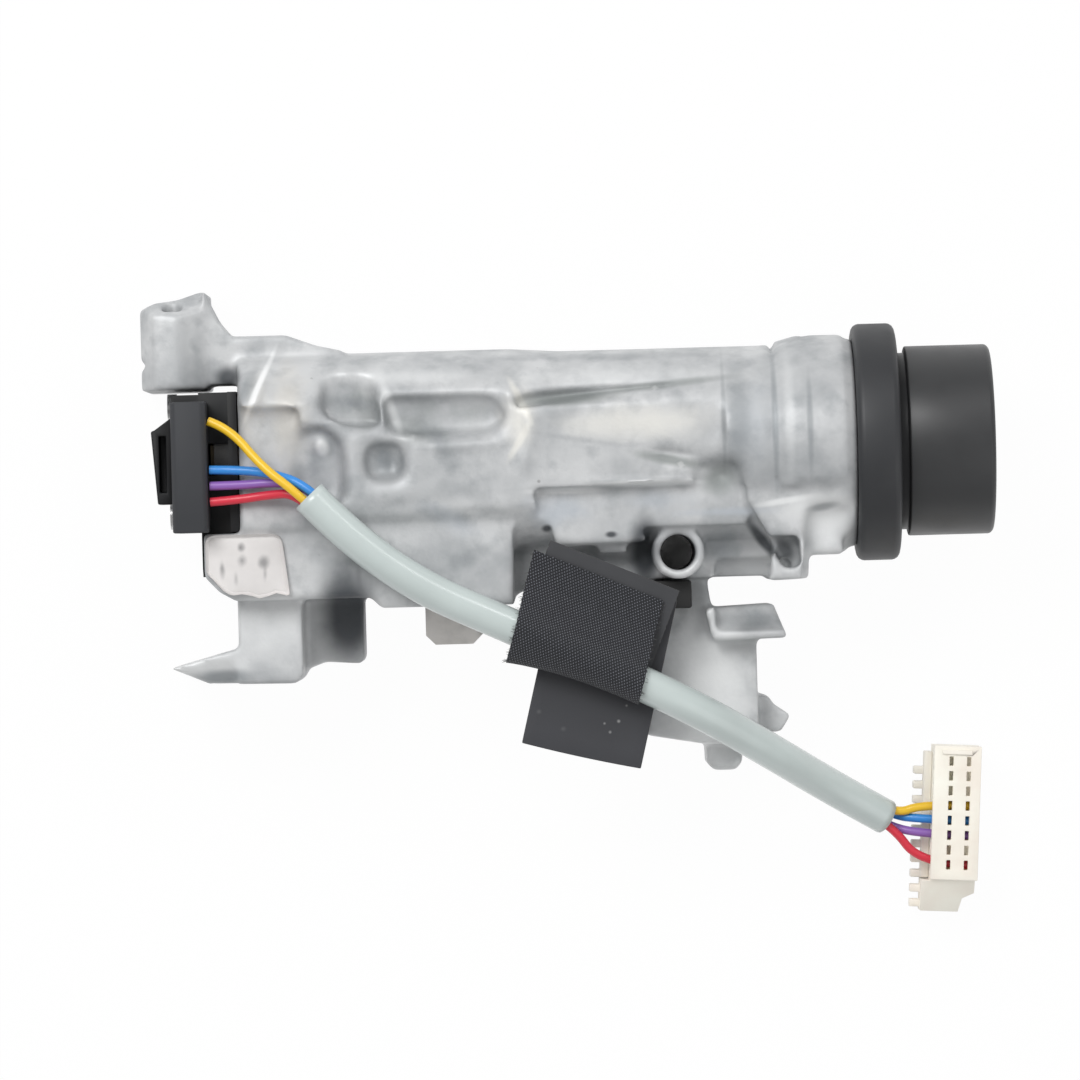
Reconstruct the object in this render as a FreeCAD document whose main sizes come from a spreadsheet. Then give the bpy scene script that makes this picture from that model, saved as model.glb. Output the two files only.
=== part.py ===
# Steering-column lock with its ignition switch, lying on its back.
# The barrel axis is X (key end at +X), Y points up the front view and Z to the front.
# All sizes are in millimetres. Places are measured from the barrel axis and a datum
# plane half way along the casting; every piece is then moved to the frame's origin.
import FreeCAD, Part
import math
import os
import re

import Sketcher

Vector = FreeCAD.Vector

dimensions = [
    # casting: barrel and trunk
    ("mouth_x", 53.7, "mouth face of the barrel"),
    ("mouth_radius", 17.6, "casting at the mouth"),
    ("collar_radius", 18.4, "thick collar behind the mouth"),
    ("collar_length", 7.5, "length of that collar"),
    ("collar_setback", 1.9, "collar behind the mouth face"),
    ("collar_ramp", 6.0, "cone that leads up to the collar"),
    ("barrel_radius", 16.9, "barrel between collar and trunk"),
    ("trunk_radius", 17.5, "trunk behind the barrel"),
    ("trunk_right_x", -4.5, "where the trunk tapers into the barrel"),
    ("trunk_taper", 8.5, "length of that taper"),
    ("trunk_left_x", -50.4, "face that carries the switch"),
    ("groove_width", 1.1, "turned grooves by the collar"),
    ("groove_depth", 0.7, "depth of those grooves"),
    ("groove_first_x", 39.4, "left edge of the first groove"),
    ("groove_second_x", 44.9, "left edge of the second groove"),
    # casting: bores along the barrel axis
    ("cylinder_bore_radius", 11.8, "bore for the lock cylinder"),
    ("cylinder_seat_x", 16.0, "shoulder that the lock cylinder meets"),
    ("bush_bore_radius", 11.2, "bore for the spindle bush"),
    ("spindle_bore_radius", 4.8, "bore for the spindle's left journal"),
    # casting: bolt box and its chamber
    ("box_left_x", -30.4, "left wall of the bolt box"),
    ("box_right_x", -4.5, "right wall of the bolt box"),
    ("box_bottom_y", -25.8, "bottom of the bolt box"),
    ("box_front_z", 13.0, "front of the bolt box"),
    ("box_back_z", -18.0, "back face, where the cover lies"),
    ("box_top_y", 17.3, "top of the box at the back"),
    ("box_corner", 3.5, "bevel of the box's lower corners"),
    ("bolt_x", -15.0, "middle of bolt and slide"),
    ("bolt_width", 9.6, "bolt across the barrel's length"),
    ("bolt_depth", 9.0, "bolt from front to back"),
    ("bolt_tip_y", -32.4, "tip of the bolt when locked"),
    ("bolt_tip_bevel", 1.6, "bevel of the bolt's tip"),
    ("bolt_gap", 0.3, "running gap round bolt and slide"),
    ("bolt_travel", 6.5, "travel of the bolt"),
    ("slide_width", 8.0, "slide along the barrel's length"),
    ("slide_bar", 2.2, "side bars of the slide's yoke"),
    ("slide_top_bar", 2.8, "bar that the cam lifts"),
    ("slide_low_bar", 3.2, "lower bar of the yoke"),
    ("window_gap", 0.3, "gap between cam and yoke"),
    ("chamber_top_y", 15.0, "end wall that the spring pushes on"),
    ("chamber_width", 10.8, "chamber along the barrel's length"),
    ("cam_base_radius", 3.4, "base circle of the cam"),
    ("spring_wire_radius", 0.28, "half of the bolt spring's square wire"),
    ("spring_radius", 2.6, "bolt spring, to the wire's middle"),
    ("spring_turns", 3.0, "turns of the bolt spring"),
    ("spring_end_gap", 0.2, "play at each end of the spring"),
    ("joint_pin_radius", 1.2, "pin between slide and bolt"),
    ("tongue_length", 4.6, "bolt's tongue inside the slide"),
    ("tongue_depth", 4.0, "thickness of that tongue"),
    ("pin_gap", 0.1, "play round pins and tongues"),
    ("thread_gap", 0.05, "play round screws and pins in the casting"),
    ("cover_thickness", 2.0, "lid at the back of the box"),
    ("cover_margin", 3.2, "lid below the chamber"),
    ("cover_side", 3.8, "lid beside the chamber"),
    ("cover_top", 1.0, "lid above the chamber"),
    ("cover_screw_y", 8.0, "lid screws from the barrel axis"),
    ("cover_gap", 0.2, "play round the lid"),
    ("cover_screw_radius", 1.1, "screws of the lid"),
    ("cover_screw_length", 5.0, "thread length of those screws"),
    ("cover_head_radius", 2.0, "heads of those screws"),
    ("cover_head_height", 1.1, "height of those heads"),
    # casting: front relief
    ("front_flat_z", 15.0, "flat along the trunk's front"),
    ("shelf_z", 13.0, "shelf that the wires cross"),
    ("shelf_length", 10.4, "shelf from the switch face"),
    ("pocket_floor_z", 11.6, "floor of the front pockets"),
    ("upper_pocket_floor_z", 9.6, "floor of the pocket below the top edge"),
    # casting: boss for the trim screw, web and rear ear
    ("boss_left_x", -66.8, "left side of the boss"),
    ("boss_width", 11.2, "width of the boss"),
    ("boss_bottom_y", 11.9, "bottom of the boss"),
    ("boss_front_top_y", 24.4, "top edge at the front"),
    ("boss_back_top_y", 28.6, "top edge at the back"),
    ("boss_front_z", 8.0, "front of the boss"),
    ("boss_hole_radius", 1.65, "tapped hole in the boss"),
    ("boss_hole_depth", 10.0, "depth of that hole"),
    ("boss_hole_z", 4.6, "place of that hole"),
    ("boss_slope_depth", 8.0, "depth of the boss's slanted top"),
    ("boss_groove_y", 16.2, "V groove round the boss's foot"),
    ("boss_groove_size", 1.1, "depth of the V groove"),
    ("web_front_z", 5.0, "front of the web beside the boss"),
    ("web_back_z", -9.0, "back of that web"),
    # casting: foot at the left of the column
    ("foot_front_z", 7.5, "front of the foot"),
    ("foot_left_x", -51.4, "neck of the foot"),
    ("foot_right_x", -40.6, "bright front wall of the foot"),
    ("foot_bottom_y", -38.2, "underside of the foot"),
    ("foot_toe_x", -63.0, "tip of the toe"),
    ("rib_right_x", -30.4, "web beside the column"),
    ("rib_front_z", -5.0, "front of that web"),
    ("rib_bottom_y", -35.3, "bottom of that web"),
    ("root_front_z", 12.05, "plate that carries the label"),
    ("root_left_x", -56.6, "left edge of that plate"),
    ("root_top_y", -12.6, "top edge of that plate"),
    ("root_bottom_y", -24.0, "bottom edge of that plate"),
    ("root_overhang", 2.4, "thickness of the plate in front of the switch"),
    # casting: clamp body, guide tube and column bracket at the right
    ("clamp_right_x", 39.2, "right end of the clamp body"),
    ("clamp_bottom_y", -22.2, "underside of the clamp body"),
    ("clamp_front_z", 5.0, "low front of the clamp body"),
    ("clamp_back_z", -16.0, "back of the clamp body"),
    ("plate_front_z", 12.5, "raised plate under the ledge"),
    ("plate_top_y", -6.4, "ledge along the barrel"),
    ("plate_bottom_y", -16.4, "lower edge of the plate"),
    ("lip_front_z", 13.6, "lip over the guide tube"),
    ("lip_height", 1.5, "height of that lip"),
    ("tube_x", 23.2, "guide tube"),
    ("tube_y", -17.8, "guide tube below the barrel axis"),
    ("tube_radius", 4.5, "guide tube outside"),
    ("tube_bore_radius", 3.05, "guide tube bore"),
    ("tube_front_z", 11.0, "rim of the guide tube"),
    ("notch_floor_z", 12.6, "notch right of the plate"),
    ("side_box_front_z", 15.0, "front of the side box"),
    ("side_box_back_z", -10.0, "back of the side box"),
    ("side_box_right_x", 51.0, "right side of the side box"),
    ("side_box_bottom_y", -18.9, "underside of the side box"),
    ("side_pocket_depth", 5.0, "square pocket of the side box"),
    ("bracket_front_z", 0.0, "front of the column bracket"),
    ("bracket_left_x", 17.2, "side that faces the column"),
    ("bracket_right_x", 36.3, "right side of the bracket"),
    ("bracket_bottom_y", -49.4, "bottom of the bracket"),
    ("tooth_front_z", -6.0, "front of the side tooth"),
    ("nub_front_z", -4.0, "front of the lower nub"),
    ("nub_bottom_y", -55.2, "tip of the lower nub"),
    ("saddle_radius", 6.5, "hollow of the saddle"),
    ("saddle_back_z", -12.0, "back of the saddle"),
    ("saddle_front_z", 5.0, "front of the saddle"),
    # reader coil ring and key sleeve
    ("ring_radius", 20.1, "reader coil ring"),
    ("ring_length", 7.3, "length of the ring"),
    ("ring_edge", 0.8, "bevel of the ring's edges"),
    ("head_gap", 0.3, "play round the cylinder's head"),
    ("sleeve_radius", 16.1, "key sleeve"),
    ("sleeve_length", 16.0, "ring face to sleeve rim"),
    ("sleeve_neck_radius", 15.0, "neck between ring and sleeve"),
    ("sleeve_neck_length", 1.6, "length of that neck"),
    ("sleeve_edge", 0.6, "bevel of the sleeve's edges"),
    ("sleeve_mouth", 1.8, "funnel inside the sleeve's rim"),
    # lock cylinder
    ("cylinder_radius", 11.5, "cylinder body inside the casting"),
    ("head_radius", 13.1, "head of the cylinder body"),
    ("head_setback", 5.0, "head behind the sleeve's rim"),
    ("plug_radius", 8.0, "plug that the key turns"),
    ("plug_gap", 0.1, "running gap round the plug"),
    ("plug_proud", 1.2, "plug in front of the head"),
    ("plug_tail", 1.0, "plug's rear face from the shoulder"),
    ("keyway_width", 2.4, "width of the key slot"),
    ("keyway_height", 9.6, "height of the key slot"),
    ("keyway_depth", 38.0, "depth of the key slot"),
    ("keyway_funnel", 1.0, "bevel round the key slot"),
    ("wafer_count", 6, "wafer tumblers"),
    ("wafer_pitch", 4.4, "spacing of the wafers"),
    ("wafer_thickness", 0.8, "thickness of a wafer"),
    ("wafer_width", 5.6, "width of a wafer"),
    ("wafer_height", 14.0, "height of a wafer"),
    ("wafer_gap", 0.15, "play round a wafer"),
    ("wafer_setback", 8.0, "first wafer behind the plug's face"),
    ("lock_pin_radius", 1.5, "pin that holds the cylinder"),
    ("lock_pin_x", 26.0, "place of that pin"),
    ("lock_pin_depth", 2.6, "pin inside the cylinder body"),
    # drive spindle
    ("journal_radius", 4.7, "spindle journals"),
    ("tang_thickness", 3.0, "tang in the plug"),
    ("tang_height", 8.0, "height of the tang"),
    ("tang_length", 5.0, "tang inside the plug"),
    ("tang_gap", 0.15, "play round the tang"),
    ("drive_square", 5.0, "square end in the switch"),
    ("bush_radius", 10.9, "spindle bush"),
    ("bush_flat_gap", 0.2, "play at the bush's ends"),
    # ignition switch
    ("case_depth", 6.6, "switch case along the barrel axis"),
    ("case_top_y", 11.3, "top of the case"),
    ("case_bottom_y", -19.8, "bottom of the case"),
    ("case_front_z", 9.0, "front of the case"),
    ("case_back_z", -12.0, "back of the case"),
    ("case_wall", 1.0, "end wall of the case"),
    ("cavity_radius", 9.4, "room for the switch rotor"),
    ("rotor_radius", 9.0, "switch rotor"),
    ("rotor_length", 3.8, "length of the switch rotor"),
    ("rotor_gap", 0.4, "play at the rotor's face"),
    ("bridge_thickness", 0.6, "contact bridge"),
    ("bridge_gap", 0.3, "bridge to the case's end wall"),
    ("rim_width", 1.6, "rim of the case beside the casting"),
    ("rim_height", 2.8, "height of that rim"),
    ("cover_depth", 4.5, "switch cover along the barrel axis"),
    ("cover_bottom_y", -12.3, "bottom of the switch cover"),
    ("cover_top_y", 11.0, "top of the switch cover"),
    ("switch_screw_radius", 1.2, "screws that hold the switch"),
    ("switch_screw_reach", 7.0, "thread inside the casting"),
    ("switch_head_radius", 2.3, "heads of the switch screws"),
    ("switch_head_height", 1.6, "height of those heads"),
    ("switch_screw_y", 9.3, "screws from the barrel axis"),
    ("switch_screw_z", -9.4, "screws behind the barrel axis"),
    ("plug_width", 6.0, "wire plug along the barrel axis"),
    ("plug_top_y", 9.7, "top of the wire plug"),
    ("plug_front_z", 17.0, "front of the wire plug"),
    ("plug_bevel", 0.8, "bevel along the wire plug"),
    ("wire_exit_z", 14.3, "height of the wires' exits"),
    ("blade_thickness", 0.8, "switch blades"),
    ("blade_width", 1.8, "width of a blade"),
    ("blade_rise", 4.6, "blade inside the wire plug"),
    ("blade_root", 9.0, "blade inside the cover"),
    ("blade_gap", 0.15, "play round a blade"),
    ("lock_tab_width", 3.4, "lock tab beside the wire plug"),
    ("lock_tab_top_y", 5.1, "top of the lock tab"),
    ("lock_tab_bottom_y", -7.4, "bottom of the lock tab"),
    ("lock_tab_back_z", 4.0, "back of the lock tab"),
    ("lock_tab_front_z", 14.0, "front of the lock tab"),
    ("buffer_size", 6.4, "rubber buffer below the tube"),
    ("buffer_front_z", 6.4, "front of the rubber buffer"),
    ("label_thickness", 0.2, "sticker on the foot's root"),
    # cable
    ("sheath_radius", 3.0, "cable sheath"),
    ("sheath_bore_radius", 2.35, "inside of the sheath"),
    ("wire_radius", 0.75, "one wire"),
    ("sheath_sides", 12, "sides of the sheath"),
    ("wire_sides", 6, "sides of a wire"),
    ("wire_gap", 0.3, "wire to the face of its plug"),
    ("wire_offset", 1.4, "wire from the cable's middle"),
    ("tape_clearance", 0.15, "tape round the sheath"),
    ("tape_thickness", 0.45, "tape thickness"),
    ("tape_length", 22.6, "tape along the cable"),
    ("tape_lead", 3.1, "tape behind the route's point before it"),
    ("tape_flag", 15.4, "flag above the cable's middle"),
    ("foam_width", 20.5, "foam pad"),
    ("foam_height", 29.0, "foam pad"),
    ("foam_thickness", 2.0, "foam pad"),
    ("foam_gap", 0.3, "foam pad behind the tape"),
    # connector on the cable's end
    ("row_pitch", 2.54, "pitch of the contacts"),
    ("row_count", 8, "rows of contacts"),
    ("column_pitch", 3.0, "the two columns of windows"),
    ("window_width", 0.7, "window in the front face"),
    ("window_height", 1.6, "window in the front face"),
    ("window_depth", 2.2, "window, down into its channel"),
    ("plug_body_left", 4.5, "connector left of its middle"),
    ("plug_body_right", 3.6, "connector right of its middle"),
    ("plug_body_end", 2.6, "connector beyond the outer rows"),
    ("plug_body_height", 11.0, "connector from the floor up"),
    ("channel_size", 1.9, "channel of one contact"),
    ("channel_height", 8.6, "channels above the floor"),
    ("wire_lead", 1.8, "straight wire before the connector"),
    ("wire_inset", 3.2, "wire inside its channel"),
    ("terminal_size", 1.6, "contact on a wire"),
    ("terminal_length", 4.4, "length of a contact"),
    ("comb_depth", 1.4, "comb at the wire side"),
    ("comb_tooth", 1.7, "teeth of the comb"),
    ("comb_tooth_width", 1.3, "width of a tooth"),
    ("comb_height", 4.0, "height of the comb"),
    ("comb_shift", 1.9, "teeth below their rows"),
    ("skirt_length", 5.6, "sloped end of the connector"),
]
size = {name: value for name, value, note in dimensions}

doc = FreeCAD.newDocument("steering_lock")
sheet = doc.addObject("Spreadsheet::Sheet", "Dims")
for row, (name, value, note) in enumerate(dimensions, start=1):
    sheet.set("A%d" % row, str(value))
    sheet.setAlias("A%d" % row, name)
    sheet.set("B%d" % row, note)
doc.recompute()

# The frame's origin lies below the middle of the rigid lock, on the face that it rests on.
middle_x = "(boss_left_x + mouth_x + ring_length + sleeve_length) / 2"
middle_y = "(boss_back_top_y + nub_bottom_y) / 2"
shift = Vector(
    -(size["boss_left_x"] + size["mouth_x"] + size["ring_length"] + size["sleeve_length"]) / 2,
    -(size["boss_back_top_y"] + size["nub_bottom_y"]) / 2,
    size["ring_radius"],
)
floor_z = "-ring_radius"

size_name = re.compile(r"[a-z]+(?:_[a-z]+)+")


def formula(text):
    # Size names become references to the sheet.
    return size_name.sub(lambda found: "Dims." + found.group(), str(text))


def bind(item, prop, text):
    item.setExpression(prop, formula(text))


def new_body(label, x="0", y="0", z="0"):
    body = doc.addObject("PartDesign::Body", label)
    body.Label = label
    bind(body, "Placement.Base.x", "(%s) - (%s)" % (x, middle_x))
    bind(body, "Placement.Base.y", "(%s) - (%s)" % (y, middle_y))
    bind(body, "Placement.Base.z", "(%s) + ring_radius" % z)
    return body


def new_sketch(body, name, plane, offset="0"):
    sketch = body.newObject("Sketcher::SketchObject", name)
    origin_plane = [f for f in body.Origin.OriginFeatures if f.Role == plane + "_Plane"][0]
    sketch.AttachmentSupport = [(origin_plane, "")]
    sketch.MapMode = "FlatFace"
    bind(sketch, "AttachmentOffset.Base.z", offset)
    return sketch


def draw_polygon(sketch, corners):
    # Each corner is a pair of formulas; the first drawing is only a start for the solver.
    count = len(corners)
    first = sketch.GeometryCount
    start = [(10 * math.cos(2 * math.pi * i / count), 10 * math.sin(2 * math.pi * i / count))
             for i in range(count)]
    for i in range(count):
        here = Vector(*start[i], 0)
        there = Vector(*start[(i + 1) % count], 0)
        sketch.addGeometry(Part.LineSegment(here, there), False)
    for i in range(count):
        line = first + i
        following = first + (i + 1) % count
        sketch.addConstraint(Sketcher.Constraint("Coincident", line, 2, following, 1))
    for i, (across, up) in enumerate(corners):
        line = first + i
        for kind, guess, text in (("DistanceX", start[i][0], across), ("DistanceY", start[i][1], up)):
            number = sketch.addConstraint(Sketcher.Constraint(kind, line, 1, guess))
            bind(sketch, "Constraints[%d]" % number, text)


def draw_circle(sketch, across, up, radius):
    circle = sketch.addGeometry(Part.Circle(Vector(1, 1, 0), Vector(0, 0, 1), 2.0), False)
    for kind, text in (("DistanceX", across), ("DistanceY", up)):
        number = sketch.addConstraint(Sketcher.Constraint(kind, circle, 3, 1.0))
        bind(sketch, "Constraints[%d]" % number, text)
    number = sketch.addConstraint(Sketcher.Constraint("Radius", circle, 2.0))
    bind(sketch, "Constraints[%d]" % number, radius)


def span_sketch(body, name, plane, low, high):
    # The XZ plane looks along -Y, so a span along Y starts at its high end there.
    return new_sketch(body, name + "_sketch", plane, "-(%s)" % high if plane == "XZ" else low)


def extrude(body, kind, name, sketch, low, high):
    feature = body.newObject("PartDesign::" + kind, name)
    feature.Profile = sketch
    feature.Reversed = kind == "Pocket"
    bind(feature, "Length", "(%s) - (%s)" % (high, low))
    return feature


def pad(body, name, plane, corners, low, high):
    sketch = span_sketch(body, name, plane, low, high)
    draw_polygon(sketch, corners)
    return extrude(body, "Pad", name, sketch, low, high)


def pad_round(body, name, plane, circles, low, high):
    sketch = span_sketch(body, name, plane, low, high)
    for circle in circles:
        draw_circle(sketch, *circle)
    return extrude(body, "Pad", name, sketch, low, high)


def pocket(body, name, plane, corners, low, high):
    sketch = span_sketch(body, name, plane, low, high)
    draw_polygon(sketch, corners)
    return extrude(body, "Pocket", name, sketch, low, high)


def pocket_round(body, name, plane, circles, low, high):
    sketch = span_sketch(body, name, plane, low, high)
    for circle in circles:
        draw_circle(sketch, *circle)
    return extrude(body, "Pocket", name, sketch, low, high)


def turn(body, kind, name, corners):
    # A half section of (x, radius) corners, turned about the barrel axis.
    sketch = new_sketch(body, name + "_sketch", "XY")
    draw_polygon(sketch, corners)
    feature = body.newObject("PartDesign::" + kind, name)
    feature.Profile = sketch
    feature.ReferenceAxis = (sketch, ["H_Axis"])
    feature.Angle = 360.0
    return feature


def rectangle(left, right, low, high):
    return [(left, low), (right, low), (right, high), (left, high)]


def make_housing():
    body = new_body("lock_housing")
    collar_right = "mouth_x - collar_setback"
    collar_left = "mouth_x - collar_setback - collar_length"
    barrel_left = "trunk_right_x + trunk_taper"
    turn(body, "Revolution", "barrel_and_trunk", [
        ("trunk_left_x", "0"),
        ("trunk_left_x", "trunk_radius"),
        ("trunk_right_x", "trunk_radius"),
        (barrel_left, "barrel_radius"),
        (collar_left + " - collar_ramp", "barrel_radius"),
        (collar_left, "collar_radius"),
        (collar_right, "collar_radius"),
        (collar_right + " + 0.6", "mouth_radius"),
        ("mouth_x", "mouth_radius"),
        ("mouth_x", "0"),
    ])
    for name, left in (("first_groove", "groove_first_x"), ("second_groove", "groove_second_x")):
        turn(body, "Groove", name, rectangle(
            left, left + " + groove_width", "barrel_radius - groove_depth", "collar_radius + 2"))

    # Bolt box: a block below the trunk, open at the back for the slide.
    pad(body, "bolt_box", "XY", [
        ("box_left_x", "0"),
        ("box_left_x", "box_bottom_y + box_corner"),
        ("box_left_x + box_corner", "box_bottom_y"),
        ("box_right_x", "box_bottom_y"),
        ("box_right_x", "0"),
    ], "box_back_z", "box_front_z")
    pad(body, "box_back", "XY", rectangle(
        "box_left_x", "box_right_x", "-10", "box_top_y"), "box_back_z", "-4")

    # Foot root, foot, toe and the web that faces the column.
    pad(body, "foot_root", "XY", [
        ("trunk_left_x + 0.2", "-8"),
        ("trunk_left_x + 0.2", "root_bottom_y"),
        ("box_left_x + 2", "root_bottom_y"),
        ("box_left_x + 2", "-8"),
    ], "box_back_z", "root_front_z")
    pad(body, "label_plate", "XY", [
        ("root_left_x", "root_top_y"),
        ("root_left_x", "root_bottom_y + 4.2"),
        ("root_left_x + 2.4", "root_bottom_y + 1.6"),
        ("foot_left_x", "root_bottom_y"),
        ("foot_right_x", "root_bottom_y"),
        ("foot_right_x", "root_top_y"),
    ], "root_front_z - root_overhang", "root_front_z")
    pad(body, "foot", "XY", [
        ("foot_left_x", "root_bottom_y + 2"),
        ("foot_left_x", "foot_bottom_y + 6.2"),
        ("foot_toe_x", "foot_bottom_y + 3.1"),
        ("foot_toe_x + 6.7", "foot_bottom_y + 0.2"),
        ("foot_right_x - 1.2", "foot_bottom_y"),
        ("foot_right_x", "foot_bottom_y + 1.2"),
        ("foot_right_x", "root_bottom_y + 2"),
    ], floor_z, "foot_front_z")
    pad(body, "column_web", "XY", [
        ("foot_right_x - 1", "root_bottom_y + 2"),
        ("foot_right_x - 1", "foot_bottom_y + 1.6"),
        ("foot_right_x + 3.5", "rib_bottom_y + 0.4"),
        ("rib_right_x - 0.8", "rib_bottom_y"),
        ("rib_right_x", "rib_bottom_y + 0.8"),
        ("rib_right_x", "root_bottom_y + 2"),
    ], floor_z, "rib_front_z")
    pocket(body, "toe_undercut", "XZ", rectangle(
        "foot_toe_x + 7.2", "foot_right_x + 0.2", "foot_front_z - 9", "foot_front_z - 2.2"),
        "foot_bottom_y - 1", "foot_bottom_y + 1.6")
    pocket(body, "toe_slope", "YZ", [
        ("foot_bottom_y - 1", "foot_front_z + 1"),
        ("foot_bottom_y - 1", "foot_front_z - 2.6"),
        ("foot_bottom_y + 6.6", "foot_front_z + 1"),
    ], "foot_toe_x - 1", "foot_left_x - 0.6")

    # Boss for the trim screw, the web beside it and the ear behind it.
    boss_right = "boss_left_x + boss_width"
    pad(body, "boss", "XZ", [
        ("boss_left_x", floor_z),
        ("boss_left_x", "boss_front_z - 5.5"),
        ("boss_left_x + 2.2", "boss_front_z - 0.8"),
        ("boss_left_x + 6.6", "boss_front_z"),
        (boss_right, "boss_front_z - 2.6"),
        (boss_right, floor_z),
    ], "boss_bottom_y", "boss_back_top_y")
    pad(body, "boss_web", "XY", [
        (boss_right + " - 0.5", "boss_bottom_y + 0.8"),
        (boss_right + " - 0.5", "boss_back_top_y"),
        (boss_right + " + 2", "boss_back_top_y - 5.1"),
        (boss_right + " + 4.3", "boss_back_top_y - 7.8"),
        ("trunk_left_x + 8.2", "trunk_radius + 3.3"),
        ("trunk_left_x + 13.4", "trunk_radius + 1.4"),
        ("trunk_left_x + 17.7", "trunk_radius + 0.4"),
        ("trunk_left_x + 22", "trunk_radius - 4"),
        ("trunk_left_x + 22", "8"),
        ("trunk_left_x", "8"),
        ("trunk_left_x", "boss_bottom_y + 0.8"),
    ], "web_back_z", "web_front_z")
    pocket(body, "boss_slope", "YZ", [
        ("boss_front_top_y", "boss_front_z"),
        ("boss_front_top_y", "boss_front_z + 2"),
        ("boss_back_top_y + 1", "boss_front_z + 2"),
        ("boss_back_top_y + 1", "boss_front_z - boss_slope_depth"),
        ("boss_back_top_y", "boss_front_z - boss_slope_depth"),
    ], "boss_left_x - 1", boss_right + " - 0.6")
    pocket(body, "boss_shoulder", "XY", [
        ("boss_left_x - 1", "boss_front_top_y + 1.2"),
        ("boss_left_x", "boss_front_top_y + 1.2"),
        ("boss_left_x + 2.6", "boss_front_top_y + 2.4"),
        ("boss_left_x + 6.4", "boss_front_top_y + 2.9"),
        (boss_right, "boss_back_top_y + 0.4"),
        (boss_right, "boss_back_top_y + 2"),
        ("boss_left_x - 1", "boss_back_top_y + 2"),
    ], floor_z + " - 1", "boss_front_z + 1")
    pocket(body, "boss_groove", "XY", [
        ("boss_left_x - 0.2", "boss_groove_y - boss_groove_size"),
        ("boss_left_x + boss_groove_size", "boss_groove_y"),
        ("boss_left_x - 0.2", "boss_groove_y + boss_groove_size"),
    ], floor_z + " - 1", "boss_front_z + 1")
    pocket_round(body, "boss_hole", "XZ", [
        ("boss_left_x + boss_width / 2", "boss_hole_z", "boss_hole_radius"),
    ], "boss_front_top_y - boss_hole_depth", "boss_back_top_y + 1")

    # Clamp body under the barrel, with its raised plate, lip and guide tube.
    pad(body, "clamp_body", "XY", [
        ("box_right_x - 1", "-4"),
        ("box_right_x - 1", "box_bottom_y + 1"),
        ("box_right_x + 5", "clamp_bottom_y"),
        ("clamp_right_x", "clamp_bottom_y"),
        ("clamp_right_x", "-4"),
    ], "clamp_back_z", "clamp_front_z")
    pad(body, "raised_plate", "XY", [
        ("box_right_x + 3.5", "plate_top_y"),
        ("box_right_x + 5", "plate_top_y - 2"),
        ("box_right_x + 7.4", "plate_bottom_y"),
        ("tube_x - 5.2", "plate_bottom_y + 0.6"),
        ("tube_x - 6.2", "tube_y + 4.6"),
        ("clamp_right_x - 4", "tube_y + 4.6"),
        ("clamp_right_x - 4", "plate_top_y"),
    ], "clamp_front_z - 1", "plate_front_z")
    pad(body, "plate_fingers", "XY", rectangle(
        "tube_x - 13.4", "tube_x - 8.6", "plate_bottom_y - 1.1", "plate_bottom_y + 1"),
        "clamp_front_z - 1", "plate_front_z - 2")
    pad(body, "tube_lip", "XY", rectangle(
        "tube_x - 6.2", "clamp_right_x - 4", "tube_y + 4.4", "tube_y + 4.4 + lip_height"),
        "clamp_front_z", "lip_front_z")
    pad_round(body, "guide_tube", "XY", [
        ("tube_x", "tube_y", "tube_radius"),
    ], floor_z, "tube_front_z")

    # Side box at the right of the clamp body.
    pad(body, "side_box", "XY", [
        ("clamp_right_x - 4.3", "-3"),
        ("clamp_right_x - 4.3", "plate_top_y - 2.8"),
        ("clamp_right_x", "tube_y + 1.2"),
        ("clamp_right_x - 0.9", "clamp_bottom_y - 0.8"),
        ("clamp_right_x + 5.9", "clamp_bottom_y - 0.6"),
        ("clamp_right_x + 6", "side_box_bottom_y"),
        ("side_box_right_x", "side_box_bottom_y"),
        ("side_box_right_x", "-3"),
    ], "side_box_back_z", "side_box_front_z")
    pocket(body, "side_step", "XY", [
        ("clamp_right_x + 6", "plate_top_y - 4"),
        ("clamp_right_x + 4.4", "side_box_bottom_y - 6"),
        ("side_box_right_x + 1", "side_box_bottom_y - 6"),
        ("side_box_right_x + 1", "plate_top_y - 4"),
    ], "side_box_front_z - 4", "side_box_front_z + 1")
    pocket(body, "side_pocket", "XY", [
        ("clamp_right_x - 1.2", "side_box_bottom_y + 3.4"),
        ("clamp_right_x + 1.6", "side_box_bottom_y - 2"),
        ("clamp_right_x + 4.4", "side_box_bottom_y - 2"),
        ("clamp_right_x + 4.4", "side_box_bottom_y + 3.4"),
    ], "side_box_front_z - side_pocket_depth", "side_box_front_z + 1")

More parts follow.
